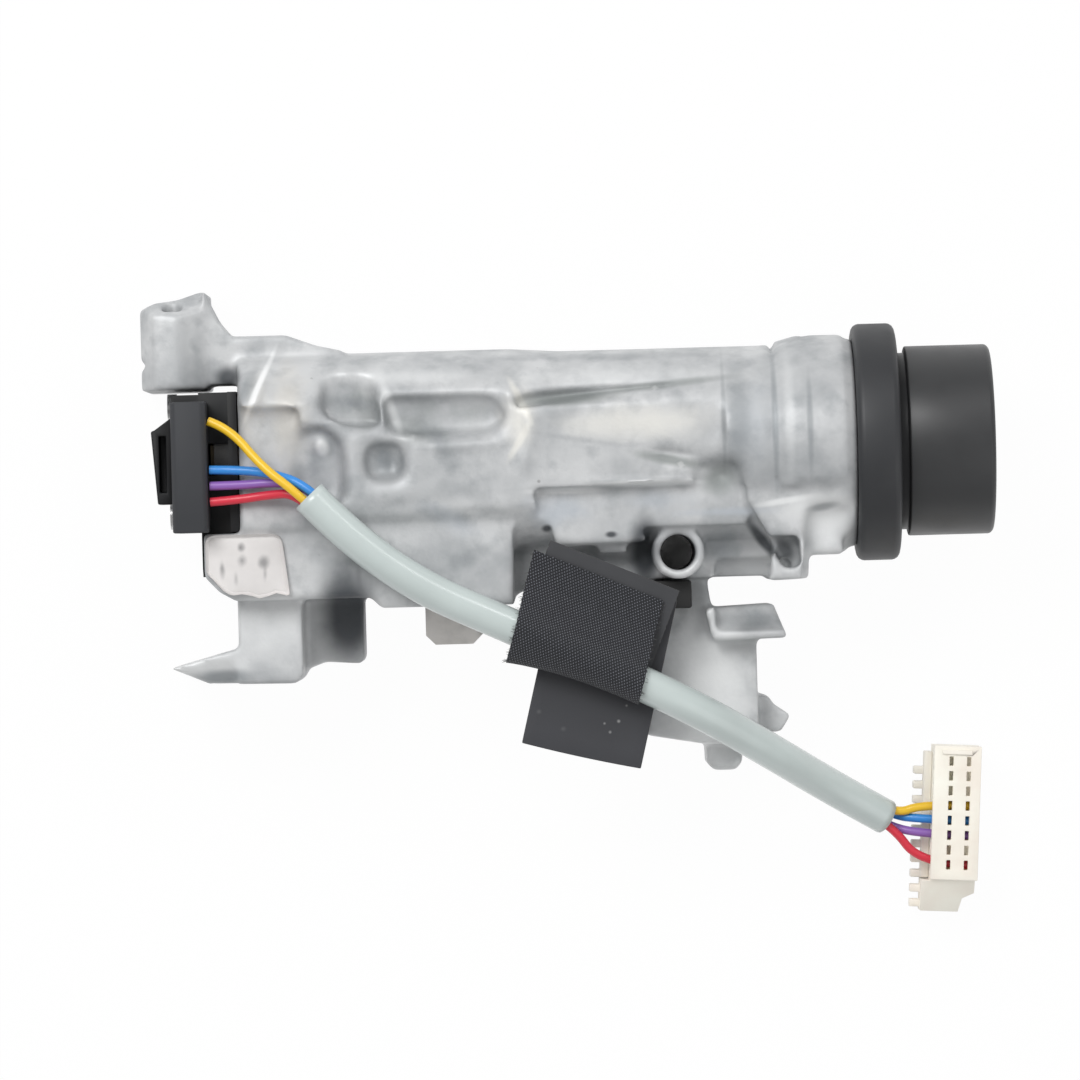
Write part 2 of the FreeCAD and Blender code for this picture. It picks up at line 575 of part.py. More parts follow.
    # Column bracket with its saddle, tooth and nub.
    pad(body, "bracket", "XY", [
        ("bracket_left_x", "clamp_bottom_y + 2"),
        ("bracket_left_x", "bracket_bottom_y + 0.6"),
        ("bracket_right_x - 9", "bracket_bottom_y - 1.2"),
        ("bracket_right_x - 3", "bracket_bottom_y - 1.2"),
        ("bracket_right_x", "bracket_bottom_y"),
        ("bracket_right_x", "clamp_bottom_y - 10.9"),
        ("tube_x + 6.4", "clamp_bottom_y - 10.8"),
        ("tube_x + 5", "clamp_bottom_y - 0.6"),
        ("tube_x + 5", "clamp_bottom_y + 2"),
    ], floor_z, "bracket_front_z")
    pad(body, "saddle", "XY", [
        ("tube_x + 4.4", "clamp_bottom_y - 5.2"),
        ("tube_x + 5.6", "clamp_bottom_y - 10.8"),
        ("bracket_right_x + 5.2", "clamp_bottom_y - 10.6"),
        ("bracket_right_x + 3", "clamp_bottom_y - 4.7"),
    ], "saddle_back_z", "saddle_front_z")
    pocket_round(body, "saddle_hollow", "YZ", [
        ("clamp_bottom_y - 3", "saddle_front_z + 1.6", "saddle_radius"),
    ], "tube_x + 6.2", "bracket_right_x + 6")
    pad(body, "tooth", "XY", [
        ("bracket_right_x - 1", "bracket_bottom_y + 7.4"),
        ("bracket_right_x + 2", "bracket_bottom_y + 6.5"),
        ("bracket_right_x + 2.9", "bracket_bottom_y + 5.1"),
        ("bracket_right_x + 5.7", "bracket_bottom_y + 3.2"),
        ("bracket_right_x + 3.9", "bracket_bottom_y + 0.4"),
        ("bracket_right_x - 1", "bracket_bottom_y + 0.4"),
    ], floor_z, "tooth_front_z")
    pad(body, "nub", "XY", [
        ("bracket_right_x - 9", "bracket_bottom_y"),
        ("bracket_right_x - 8.9", "nub_bottom_y + 1.2"),
        ("bracket_right_x - 7.6", "nub_bottom_y"),
        ("bracket_right_x - 4", "nub_bottom_y"),
        ("bracket_right_x - 2.8", "nub_bottom_y + 1.4"),
        ("bracket_right_x - 2.8", "bracket_bottom_y"),
    ], floor_z, "nub_front_z")

    # Relief on the front: a long flat, the wire shelf and the pockets between ribs.
    flat_left = "trunk_left_x + shelf_length"
    pocket(body, "front_flat", "YZ", rectangle("-14", "11", "front_flat_z", "trunk_radius + 2"),
           flat_left, "mouth_x - 22.2")
    pocket(body, "wire_shelf", "YZ", rectangle("-14", "8.2", "shelf_z", "trunk_radius + 2"),
           "trunk_left_x - 1", flat_left + " + 0.1")
    pocket(body, "arch_pocket", "XY", [
        (flat_left + " - 1.4", "-8"),
        (flat_left + " - 1.4", "1.6"),
        (flat_left + " + 0.6", "4.2"),
        (flat_left + " + 3", "5"),
        (flat_left + " + 6", "3.6"),
        (flat_left + " + 7.4", "1"),
        (flat_left + " + 7.4", "-8"),
    ], "pocket_floor_z", "front_flat_z + 1")
    upper_left = flat_left + " + 3.6"
    pocket(body, "upper_pocket", "XY", [
        (upper_left, "6.8"),
        (upper_left + " + 0.8", "13.4"),
        (upper_left + " + 8.6", "13.6"),
        (upper_left + " + 10.4", "4.4"),
        (upper_left + " + 5", "4.8"),
    ], "upper_pocket_floor_z", "front_flat_z + 2")
    pocket(body, "long_pocket", "XY", [
        ("box_left_x + 5.2", "3.4"),
        ("box_left_x + 4.6", "9.6"),
        ("box_right_x - 2.4", "9.4"),
        ("box_right_x - 0.6", "5.6"),
        ("box_right_x - 3", "3.2"),
    ], "pocket_floor_z", "front_flat_z + 1")
    pocket(body, "square_pocket", "XY", rectangle(
        "box_left_x + 1.4", "box_left_x + 7.8", "-4.3", "1.8"), "pocket_floor_z", "front_flat_z + 1")
    pocket(body, "barrel_groove", "XY", [
        ("box_right_x + 1", "7.1"),
        ("box_right_x + 0.6", "9.4"),
        ("tube_x - 2", "10.7"),
        ("tube_x + 4.4", "10.5"),
        ("tube_x - 2", "9.5"),
    ], "pocket_floor_z + 1", "front_flat_z + 3")
    pocket(body, "plate_ledge", "XY", [
        ("box_right_x + 3.5", "plate_top_y"),
        ("box_right_x + 5", "plate_bottom_y + 2"),
        ("clamp_right_x - 4.3", "plate_bottom_y + 2"),
        ("clamp_right_x - 4.3", "plate_top_y"),
    ], "plate_front_z", "front_flat_z + 3")
    pocket(body, "side_ledge", "XY", rectangle(
        "clamp_right_x - 4.4", "side_box_right_x", "side_box_bottom_y - 1", "plate_top_y - 0.8"),
        "side_box_front_z", "front_flat_z + 5")
    pocket(body, "notch_slope", "XY", [
        ("tube_x - 8.4", "0.2"),
        ("clamp_right_x - 12.6", "-0.8"),
        ("clamp_right_x - 12.6", "-3.4"),
        ("clamp_right_x - 15", "-3"),
    ], "pocket_floor_z + 2", "front_flat_z + 3")
    pocket(body, "plate_notch", "XY", [
        ("clamp_right_x - 13", "-2.4"),
        ("clamp_right_x - 12.6", "plate_top_y - 2.2"),
        ("clamp_right_x - 5", "plate_top_y - 2.8"),
        ("clamp_right_x - 5", "-2.8"),
    ], "notch_floor_z", "front_flat_z + 3")

    # Bores and the bolt chamber.
    turn(body, "Groove", "axial_bores", [
        ("trunk_left_x - 1", "0"),
        ("trunk_left_x - 1", "spindle_bore_radius"),
        ("bolt_x", "spindle_bore_radius"),
        ("bolt_x", "bush_bore_radius"),
        ("cylinder_seat_x", "bush_bore_radius"),
        ("cylinder_seat_x", "cylinder_bore_radius"),
        ("mouth_x + 1", "cylinder_bore_radius"),
        ("mouth_x + 1", "0"),
    ])
    pocket(body, "bolt_chamber", "XY", rectangle(
        "bolt_x - chamber_width / 2", "bolt_x + chamber_width / 2",
        window_bottom + " - slide_low_bar - 0.6", "chamber_top_y"),
        "box_back_z - 1", slide_front + " + bolt_gap")
    pocket(body, "bolt_slot", "XY", rectangle(
        "bolt_x - bolt_width / 2 - bolt_gap", "bolt_x + bolt_width / 2 + bolt_gap",
        "box_bottom_y - 1", window_bottom + " - slide_low_bar"),
        slide_middle + " - bolt_depth / 2 - bolt_gap", slide_middle + " + bolt_depth / 2 + bolt_gap")
    pocket(body, "cover_rebate", "XY", rectangle(
        "bolt_x - chamber_width / 2 - cover_side - cover_gap",
        "bolt_x + chamber_width / 2 + cover_side + cover_gap",
        window_bottom + " - slide_low_bar - 0.6 - cover_margin - cover_gap",
        "chamber_top_y + cover_top + cover_gap"),
        "box_back_z - 1", "box_back_z + cover_thickness")
    pocket_round(body, "cover_screw_holes", "XY", [
        (x, y, "cover_screw_radius + thread_gap") for x, y in cover_screw_places()
    ], "box_back_z", "box_back_z + cover_thickness + cover_screw_length")
    pocket_round(body, "cylinder_pin_hole", "XY", [
        ("lock_pin_x", "0", "lock_pin_radius + thread_gap"),
    ], "-collar_radius - 1", "-cylinder_bore_radius + 1")
    pocket_round(body, "switch_screw_holes", "YZ", [
        ("switch_screw_y", "switch_screw_z", "switch_screw_radius + thread_gap"),
        ("-switch_screw_y", "switch_screw_z", "switch_screw_radius + thread_gap"),
    ], "trunk_left_x - 1", "trunk_left_x + switch_screw_reach")
    pocket_round(body, "tube_bore", "XY", [
        ("tube_x", "tube_y", "tube_bore_radius"),
    ], floor_z + " - 1", "tube_front_z + 1")
    return body


# The cam lifts the slide evenly, so its working side is an involute: the distance of its
# tangent from the axis grows by the same amount for each radian that the key turns.
cam_rate = size["bolt_travel"] / (math.pi / 2)
cam_reach = size["cam_base_radius"] + size["bolt_travel"]
cam_rate_text = "bolt_travel / (pi / 2)"
cam_tip_text = "sqrt(pow(%s; 2) + pow(cam_base_radius + bolt_travel; 2))" % cam_rate_text
window_top = "cam_base_radius + window_gap"
window_bottom = "-(cam_base_radius + bolt_travel + window_gap)"
window_back = "-(%s + window_gap)" % cam_tip_text
window_front = "cam_base_radius + window_gap"
slide_back = "%s - slide_bar" % window_back
slide_front = "%s + slide_bar" % window_front
slide_middle = "(%s + %s) / 2" % (slide_back, slide_front)
bolt_shoulder_y = "%s - slide_low_bar - 0.1" % window_bottom


def cover_screw_places():
    # Beside the chamber, the left one above the barrel's axis and the right one below it.
    return [("bolt_x - chamber_width / 2 - cover_side / 2", "cover_screw_y"),
            ("bolt_x + chamber_width / 2 + cover_side / 2", "-cover_screw_y")]


def make_ring():
    body = new_body("coil_ring")
    front = "mouth_x + ring_length"
    turn(body, "Revolution", "ring", [
        ("mouth_x", "head_radius + head_gap"),
        ("mouth_x", "ring_radius - ring_edge"),
        ("mouth_x + ring_edge", "ring_radius"),
        (front + " - ring_edge", "ring_radius"),
        (front, "ring_radius - ring_edge"),
        (front, "head_radius + head_gap"),
    ])
    return body


def make_sleeve():
    body = new_body("key_sleeve")
    back = "mouth_x + ring_length"
    rim = "mouth_x + ring_length + sleeve_length"
    turn(body, "Revolution", "sleeve", [
        (back, "head_radius + head_gap"),
        (back, "sleeve_neck_radius"),
        (back + " + sleeve_neck_length", "sleeve_neck_radius"),
        (back + " + sleeve_neck_length", "sleeve_radius"),
        (rim + " - sleeve_edge", "sleeve_radius"),
        (rim, "sleeve_radius - sleeve_edge"),
        (rim, "head_radius + head_gap + sleeve_mouth * 0.6"),
        (rim + " - sleeve_mouth", "head_radius + head_gap"),
    ])
    return body


head_front = "mouth_x + ring_length + sleeve_length - head_setback"
plug_front = head_front + " + plug_proud"
plug_back = "cylinder_seat_x + plug_tail"


def make_cylinder():
    body = new_body("cylinder_body")
    turn(body, "Revolution", "cylinder", [
        ("cylinder_seat_x", "plug_radius + plug_gap"),
        ("cylinder_seat_x", "cylinder_radius"),
        ("mouth_x", "cylinder_radius"),
        ("mouth_x", "head_radius"),
        (head_front + " - 0.8", "head_radius"),
        (head_front, "head_radius - 0.8"),
        (head_front, "plug_radius + plug_gap"),
    ])
    pocket_round(body, "pin_seat", "XY", [
        ("lock_pin_x", "0", "lock_pin_radius + pin_gap"),
    ], "-cylinder_radius - 1", "-cylinder_radius + lock_pin_depth + pin_gap")
    return body


def make_cylinder_pin():
    body = new_body("cylinder_pin")
    pad_round(body, "pin", "XY", [
        ("lock_pin_x", "0", "lock_pin_radius"),
    ], "-barrel_radius + 0.2", "-cylinder_radius + lock_pin_depth")
    return body


def make_key_plug():
    body = new_body("key_plug")
    turn(body, "Revolution", "plug", [
        (plug_back, "0"),
        (plug_back, "plug_radius"),
        (plug_front + " - 0.7", "plug_radius"),
        (plug_front, "plug_radius - 0.7"),
        (plug_front, "0"),
    ])
    pocket(body, "keyway", "YZ", rectangle(
        "-keyway_width / 2", "keyway_width / 2", "-keyway_height / 2", "keyway_height / 2"),
        plug_front + " - keyway_depth", plug_front + " + 1")
    pocket(body, "keyway_mouth", "YZ", rectangle(
        "-keyway_width / 2 - keyway_funnel / 2", "keyway_width / 2 + keyway_funnel / 2",
        "-keyway_height / 2 - keyway_funnel / 2", "keyway_height / 2 + keyway_funnel / 2"),
        plug_front + " - keyway_funnel", plug_front + " + 1")
    pocket(body, "tang_slot", "YZ", rectangle(
        "-tang_height / 2 - tang_gap", "tang_height / 2 + tang_gap",
        "-tang_thickness / 2 - tang_gap", "tang_thickness / 2 + tang_gap"),
        plug_back + " - 1", plug_back + " + tang_length + tang_gap")
    slot = pocket(body, "wafer_slot", "XY", rectangle(
        plug_front + " - wafer_setback - wafer_thickness - wafer_gap",
        plug_front + " - wafer_setback + wafer_gap",
        "-wafer_width / 2 - wafer_gap", "wafer_width / 2 + wafer_gap"),
        "-plug_radius - 1", "plug_radius + 1")
    repeat_along_barrel(body, slot, "wafer_slots")
    return body


def repeat_along_barrel(body, feature, name):
    pattern = body.newObject("PartDesign::LinearPattern", name)
    pattern.Originals = [feature]
    pattern.Direction = (feature.Profile[0], ["H_Axis"])
    pattern.Reversed = True
    bind(pattern, "Length", "wafer_pitch * (wafer_count - 1)")
    bind(pattern, "Occurrences", "wafer_count")
    body.Tip = pattern


def make_wafers():
    body = new_body("plug_wafers")
    wafer = pad(body, "wafer", "XY", rectangle(
        plug_front + " - wafer_setback - wafer_thickness", plug_front + " - wafer_setback",
        "-wafer_width / 2", "wafer_width / 2"), "-wafer_height / 2", "wafer_height / 2")
    repeat_along_barrel(body, wafer, "wafers")
    pocket(body, "key_windows", "YZ", rectangle(
        "-keyway_width / 2", "keyway_width / 2", "-keyway_height / 2", "keyway_height / 2"),
        plug_front + " - keyway_depth", plug_front)
    return body


def make_spindle():
    body = new_body("drive_spindle")
    neck_left = "bolt_x - chamber_width / 2 - 0.2"
    neck_right = "bolt_x + chamber_width / 2 + 0.4"
    turn(body, "Revolution", "shaft", [
        ("trunk_left_x - 0.2", "0"),
        ("trunk_left_x - 0.2", "journal_radius"),
        (neck_left, "journal_radius"),
        (neck_left, "cam_base_radius"),
        (neck_right, "cam_base_radius"),
        (neck_right, "journal_radius"),
        ("cylinder_seat_x - 0.2", "journal_radius"),
        ("cylinder_seat_x - 0.2", "0"),
    ])
    pad(body, "tang", "YZ", rectangle(
        "-tang_height / 2", "tang_height / 2", "-tang_thickness / 2", "tang_thickness / 2"),
        "cylinder_seat_x - 1", plug_back + " + tang_length")
    pad(body, "square_end", "YZ", rectangle(
        "-drive_square / 2", "drive_square / 2", "-drive_square / 2", "drive_square / 2"),
        "trunk_left_x - rotor_gap - rotor_length", "trunk_left_x")
    # Involute side of the cam, from the flat under the yoke's top bar to the tip of the lobe.
    steps = 6
    corners = [("cam_base_radius", "0")]
    for step in range(steps + 1):
        angle = -math.pi / 2 * step / steps
        lift = "(cam_base_radius - (%s) * (%.6f))" % (cam_rate_text, angle)
        corners.append((
            "%s * %.6f + (%s) * %.6f" % (lift, math.cos(angle), cam_rate_text, math.sin(angle)),
            "%s * %.6f - (%s) * %.6f" % (lift, math.sin(angle), cam_rate_text, math.cos(angle)),
        ))
    corners.append(("-cam_base_radius", "-cam_base_radius * 0.4"))
    corners.append(("-cam_base_radius * 0.8", "0"))
    pad(body, "cam", "YZ", corners, "bolt_x - slide_width / 2 + 0.4", "bolt_x + slide_width / 2 - 0.4")
    return body


def make_bush():
    body = new_body("spindle_bush")
    left = "bolt_x + chamber_width / 2 + 0.6"
    right = "cylinder_seat_x - bush_flat_gap"
    turn(body, "Revolution", "bush", [
        (left, "journal_radius + pin_gap"),
        (left, "bush_radius"),
        (right, "bush_radius"),
        (right, "journal_radius + pin_gap"),
    ])
    return body


def make_slide():
    body = new_body("lock_slide")
    left = "bolt_x - slide_width / 2"
    right = "bolt_x + slide_width / 2"
    pad(body, "yoke", "YZ", rectangle(
        window_bottom + " - slide_low_bar", window_top + " + slide_top_bar", slide_back, slide_front),
        left, right)
    pocket(body, "window", "YZ", rectangle(window_bottom, window_top, window_back, window_front),
           left + " - 1", right + " + 1")
    pad(body, "fork", "YZ", rectangle(
        bolt_shoulder_y + " - tongue_length + 1.4", window_bottom + " - 1",
        slide_middle + " - tongue_depth / 2 - 2", slide_middle + " + tongue_depth / 2 + 2"),
        left + " + 0.6", right + " - 0.6")
    pocket(body, "fork_gap", "YZ", rectangle(
        bolt_shoulder_y + " - tongue_length - 1", window_bottom + " - slide_low_bar + 0.1",
        slide_middle + " - tongue_depth / 2 - pin_gap", slide_middle + " + tongue_depth / 2 + pin_gap"),
        left + " - 1", right + " + 1")
    pocket_round(body, "pin_hole", "XY", [
        ("bolt_x", bolt_shoulder_y + " - 1.5", "joint_pin_radius + pin_gap"),
    ], slide_back + " - 1", slide_front + " + 1")
    return body


def make_bolt():
    body = new_body("lock_bolt")
    back = slide_middle + " - bolt_depth / 2"
    front = slide_middle + " + bolt_depth / 2"
    left = "bolt_x - bolt_width / 2"
    right = "bolt_x + bolt_width / 2"
    head_y = bolt_shoulder_y + " - tongue_length + 1.2"
    pad(body, "bar", "XY", [
        (left, head_y),
        (left, "bolt_tip_y + bolt_tip_bevel"),
        (left + " + bolt_tip_bevel", "bolt_tip_y"),
        (right + " - bolt_tip_bevel", "bolt_tip_y"),
        (right, "bolt_tip_y + bolt_tip_bevel"),
        (right, head_y),
    ], back, front)
    pad(body, "tongue", "XY", rectangle(
        "bolt_x - 3", "bolt_x + 3", head_y + " - 1", bolt_shoulder_y + " + 0.1"),
        slide_middle + " - tongue_depth / 2", slide_middle + " + tongue_depth / 2")
    pocket_round(body, "tongue_hole", "XY", [
        ("bolt_x", bolt_shoulder_y + " - 1.5", "joint_pin_radius + pin_gap"),
    ], back + " - 1", front + " + 1")
    return body


def make_bolt_pin():
    body = new_body("bolt_pin")
    pad_round(body, "pin", "XY", [
        ("bolt_x", bolt_shoulder_y + " - 1.5", "joint_pin_radius"),
    ], slide_middle + " - tongue_depth / 2 - 1.9", slide_middle + " + tongue_depth / 2 + 1.9")
    return body


def make_spring():
    body = new_body("bolt_spring", "bolt_x",
                    window_top + " + slide_top_bar + spring_end_gap + spring_wire_radius", slide_middle)
    sketch = new_sketch(body, "wire_section", "XY")
    draw_polygon(sketch, rectangle(
        "spring_radius - spring_wire_radius", "spring_radius + spring_wire_radius",
        "-spring_wire_radius", "spring_wire_radius"))
    doc.recompute()
    coil = body.newObject("PartDesign::AdditiveHelix", "coil")
    coil.Profile = sketch
    coil.ReferenceAxis = (sketch, ["V_Axis"])
    coil.Mode = "height-turns-angle"
    bind(coil, "Height", "chamber_top_y - (%s) - slide_top_bar - 2 * spring_end_gap"
                         " - 2 * spring_wire_radius" % window_top)
    bind(coil, "Turns", "spring_turns")
    return body


def make_bolt_cover():
    body = new_body("bolt_cover")
    low = window_bottom + " - slide_low_bar - 0.6"
    pad(body, "lid", "XY", rectangle(
        "bolt_x - chamber_width / 2 - cover_side", "bolt_x + chamber_width / 2 + cover_side",
        low + " - cover_margin", "chamber_top_y + cover_top"),
        "box_back_z", "box_back_z + cover_thickness")
    pad(body, "guide", "XY", rectangle(
        "bolt_x - chamber_width / 2 + cover_gap", "bolt_x + chamber_width / 2 - cover_gap",
        low + " + cover_gap", "chamber_top_y - cover_gap"),
        "box_back_z + cover_thickness", slide_back + " - bolt_gap")
    pocket_round(body, "screw_holes", "XY", [
        (x, y, "cover_screw_radius + pin_gap") for x, y in cover_screw_places()
    ], "box_back_z - 1", "box_back_z + cover_thickness + 1")
    return body


def make_cover_screws():
    body = new_body("cover_screws")
    pad_round(body, "shanks", "XY", [
        (x, y, "cover_screw_radius") for x, y in cover_screw_places()
    ], "box_back_z - 0.2", "box_back_z + cover_thickness + cover_screw_length")
    pad_round(body, "heads", "XY", [
        (x, y, "cover_head_radius") for x, y in cover_screw_places()
    ], "box_back_z - cover_head_height", "box_back_z")
    return body


case_left = "trunk_left_x - case_depth"
cover_left = "trunk_left_x - case_depth - cover_depth"


def make_switch_case():
    body = new_body("switch_case")
    pad(body, "case", "YZ", [
        ("case_bottom_y", "case_back_z"),
        ("case_top_y", "case_back_z"),
        ("case_top_y", "case_front_z"),
        ("case_bottom_y + 1.5", "case_front_z"),
        ("case_bottom_y", "case_front_z - 1.5"),
    ], case_left, "trunk_left_x")
    pad(body, "rim", "YZ", rectangle(
        "root_top_y + 0.3", "case_top_y", "case_front_z - 1", "case_front_z + rim_height"),
        "trunk_left_x - rim_width", "trunk_left_x - 0.1")
    pocket_round(body, "cavity", "YZ", [("0", "0", "cavity_radius")],
                 case_left + " + case_wall", "trunk_left_x + 1")
    pocket_round(body, "screw_holes", "YZ", [
        ("switch_screw_y", "switch_screw_z", "switch_screw_radius + pin_gap"),
        ("-switch_screw_y", "switch_screw_z", "switch_screw_radius + pin_gap"),
    ], case_left + " - 1", "trunk_left_x + 1")
    return body


def blade_places():
    # The four wires in use, from the top: yellow, blue, purple, red.
    return [6.4, -1.8, -4.5, -7.2]


def make_switch_cover():
    body = new_body("switch_cover")
    pad(body, "cover", "YZ", [
        ("cover_bottom_y", "case_back_z"),
        ("cover_top_y", "case_back_z"),
        ("cover_top_y", "case_front_z"),
        ("cover_bottom_y", "case_front_z"),
    ], cover_left, case_left)
    for number, blade_y in enumerate(blade_places(), start=1):
        pocket(body, "blade_slot_%d" % number, "XY", rectangle(
            blade_middle + " - blade_thickness / 2 - blade_gap",
            blade_middle + " + blade_thickness / 2 + blade_gap",
            "%s - blade_width / 2 - blade_gap" % blade_y, "%s + blade_width / 2 + blade_gap" % blade_y),
            "case_front_z - blade_root", "case_front_z + 1")
    pocket_round(body, "screw_holes", "YZ", [
        ("switch_screw_y", "switch_screw_z", "switch_screw_radius + pin_gap"),
        ("-switch_screw_y", "switch_screw_z", "switch_screw_radius + pin_gap"),
    ], cover_left + " - 1", case_left + " + 1")
    return body


blade_middle = "(trunk_left_x - case_depth - cover_depth / 2)"


def make_contacts():
    body = new_body("switch_contacts")
    for number, blade_y in enumerate(blade_places(), start=1):
        pad(body, "blade_%d" % number, "XY", rectangle(
            blade_middle + " - blade_thickness / 2", blade_middle + " + blade_thickness / 2",
            "%s - blade_width / 2" % blade_y, "%s + blade_width / 2" % blade_y),
            "case_front_z - blade_root", "case_front_z + blade_rise")
    return body


def make_switch_screws():
    body = new_body("switch_screws")
    places = (("switch_screw_y", "switch_screw_z"), ("-switch_screw_y", "switch_screw_z"))
    pad_round(body, "shanks", "YZ", [(y, z, "switch_screw_radius") for y, z in places],
              cover_left + " - 0.4", "trunk_left_x + switch_screw_reach")
    pad_round(body, "heads", "YZ", [(y, z, "switch_head_radius") for y, z in places],
              cover_left + " - switch_head_height", cover_left)
    return body


def make_switch_rotor():
    body = new_body("switch_rotor")
    right = "trunk_left_x - rotor_gap"
    pad_round(body, "disc", "YZ", [("0", "0", "rotor_radius")], right + " - rotor_length", right)
    pocket(body, "square_hole", "YZ", rectangle(
        "-drive_square / 2 - pin_gap", "drive_square / 2 + pin_gap",
        "-drive_square / 2 - pin_gap", "drive_square / 2 + pin_gap"),
        right + " - rotor_length - 1", right + " + 1")
    return body


def make_bridge():
    body = new_body("contact_bridge")
    face = "trunk_left_x - rotor_gap - rotor_length"
    pad(body, "bridge", "YZ", [
        ("-3.6", "-5.4"),
        ("-2.4", "-7.6"),
        ("2.4", "-7.6"),
        ("3.6", "-5.4"),
        ("3.6", "5.4"),
        ("2.4", "7.6"),
        ("-2.4", "7.6"),
        ("-3.6", "5.4"),
    ], face + " - bridge_thickness", face)
    pocket(body, "spindle_opening", "YZ", rectangle(
        "-drive_square / 2 - pin_gap", "drive_square / 2 + pin_gap",
        "-drive_square / 2 - pin_gap", "drive_square / 2 + pin_gap"),
        face + " - bridge_thickness - 1", face + " + 1")
    return body


def make_wire_plug():
    body = new_body("wire_plug")
    right = cover_left + " + plug_width"
    pad(body, "strip", "XZ", [
        (cover_left, "case_front_z"),
        (cover_left, "plug_front_z - plug_bevel"),
        (cover_left + " + plug_bevel", "plug_front_z"),
        (right + " - plug_bevel", "plug_front_z"),
        (right, "plug_front_z - plug_bevel"),
        (right, "case_front_z"),
    ], "cover_bottom_y", "plug_top_y")
    for number, blade_y in enumerate(blade_places(), start=1):
        pocket(body, "blade_pocket_%d" % number, "XY", rectangle(
            blade_middle + " - blade_thickness / 2 - blade_gap",
            blade_middle + " + blade_thickness / 2 + blade_gap",
            "%s - blade_width / 2 - blade_gap" % blade_y, "%s + blade_width / 2 + blade_gap" % blade_y),
            "case_front_z - 1", "case_front_z + blade_rise + blade_gap")
    return body


def make_lock_tab():
    body = new_body("plug_lock")
    right = cover_left
    left = cover_left + " - lock_tab_width"
    pad(body, "tab", "XY", [
        (right, "lock_tab_bottom_y"),
        (left + " + 0.9", "lock_tab_bottom_y"),
        (left, "lock_tab_top_y - 0.2"),
        (left + " + 0.6", "lock_tab_top_y"),
        (right, "lock_tab_top_y + 2"),
    ], "lock_tab_back_z", "lock_tab_front_z")
    pocket(body, "tab_slot", "XY", rectangle(
        right + " - 2.1", right + " - 0.9", "lock_tab_bottom_y + 2", "lock_tab_top_y - 1"),
        "lock_tab_front_z - 3", "lock_tab_front_z + 1")
    return body


def make_buffer():
    body = new_body("rubber_buffer")
    left = "tube_x - 4.2"
    pad(body, "block", "XY", rectangle(
        left, left + " + buffer_size", "tube_y - tube_radius - 5", "tube_y - tube_radius - 0.3"),
        "bracket_front_z", "buffer_front_z")
    return body


def make_label():
    body = new_body("label")
    pad(body, "sticker", "XY", [
        ("root_left_x + 0.3", "root_top_y - 1"),
        ("root_left_x + 0.3", "root_bottom_y + 4.6"),
        ("root_left_x + 2.6", "root_bottom_y + 2.1"),
        ("foot_left_x + 0.2", "root_bottom_y + 0.4"),
        ("foot_right_x - 1.6", "root_bottom_y + 0.4"),
        ("foot_right_x - 2.8", "root_top_y - 1"),
        ("foot_right_x - 3.8", "root_top_y - 0.2"),
        ("root_left_x + 1.2", "root_top_y - 0.2"),
    ], "root_front_z", "root_front_z + label_thickness")
    return body


# Cable route, from the mouth of the sheath on the casting to its end before the connector,
# measured from the barrel axis like everything else.
sheath_route = [
    Vector(-38.5, -6.7, 18.6),
    Vector(-31.8, -13.9, 18.6),
    Vector(-20.0, -22.6, 17.7),
    Vector(-7.0, -28.6, 15.7),
    Vector(22.5, -42.4, 14.6),
    Vector(37.0, -51.2, 5.2),
    Vector(49.5, -59.3, -8.2),
    Vector(58.0, -64.3, -12.0),
]
tape_start = 3
strand_turn = -106.0

# Each wire: its place in the bundle at the left, its points from the plug to the sheath,
# and its row in the connector.
wires = {
    "wire_yellow": (135.0, [(-51.6, 5.1, 14.8), (-46.2, -1.6, 18.4)], 4),
    "wire_blue": (45.0, [(-50.2, -1.9, 14.4), (-44.6, -2.7, 16.3)], 5),
    "wire_purple": (315.0, [(-50.2, -4.5, 14.3), (-44.8, -4.2, 14.9)], 6),
    "wire_red": (225.0, [(-50.2, -6.9, 14.3), (-45.6, -6.3, 15.2)], 8),
}
connector_place = Vector(70.4, -63.9, -size["ring_radius"])
connector_turn = -3.5


def rounded_path(points):
    # Straight runs joined by tangent arcs, each as large as its two runs allow.
    edges = []
    radii = []
    start = points[0]
    for before, corner, after in zip(points, points[1:], points[2:]):
        into = corner - before
        out = after - corner
        half_turn = into.getAngle(out) / 2
        reach = 0.45 * min(into.Length, out.Length)
        radii.append(reach / math.tan(half_turn))
        arc_start = corner - into.normalize() * reach
        arc_end = corner + out.normalize() * reach
        inward = (out - into).normalize()
        middle = corner + inward * (radii[-1] / math.cos(half_turn) - radii[-1])
        edges.append(Part.LineSegment(start, arc_start).toShape())
        edges.append(Part.Arc(arc_start, middle, arc_end).toShape())
        start = arc_end
    edges.append(Part.LineSegment(start, points[-1]).toShape())
    return Part.Wire(edges), radii


def sided_section(centre, along, radius, sides):
    # A polygon of equal sides whose corners lie on the circle.
    side = Vector(0, 0, 1).cross(along).normalize()
    up = along.cross(side).normalize()
    corners = [centre + side * (radius * math.cos(2 * math.pi * i / sides))
               + up * (radius * math.sin(2 * math.pi * i / sides)) for i in range(sides)]
    return Part.makePolygon(corners + corners[:1])


def sweep(name, section, points):
    path, radii = rounded_path(points)
    solid = path.makePipeShell([section], True, False)
    expected = Part.Face(section).Area * path.Length
    if abs(abs(solid.Volume) - expected) > 0.01 * expected:
        raise ValueError("%s: volume %.2f, expected %.2f" % (name, solid.Volume, expected))
    print("%s: length %.1f mm, radii %s mm" % (name, path.Length, [round(r, 1) for r in radii]))
    return solid


def add_shape(label, shape):
    item = doc.addObject("Part::Feature", label)
    item.Label = label
    item.Shape = shape
    item.Placement = FreeCAD.Placement(shift, FreeCAD.Rotation()).multiply(shape.Placement)
    return item


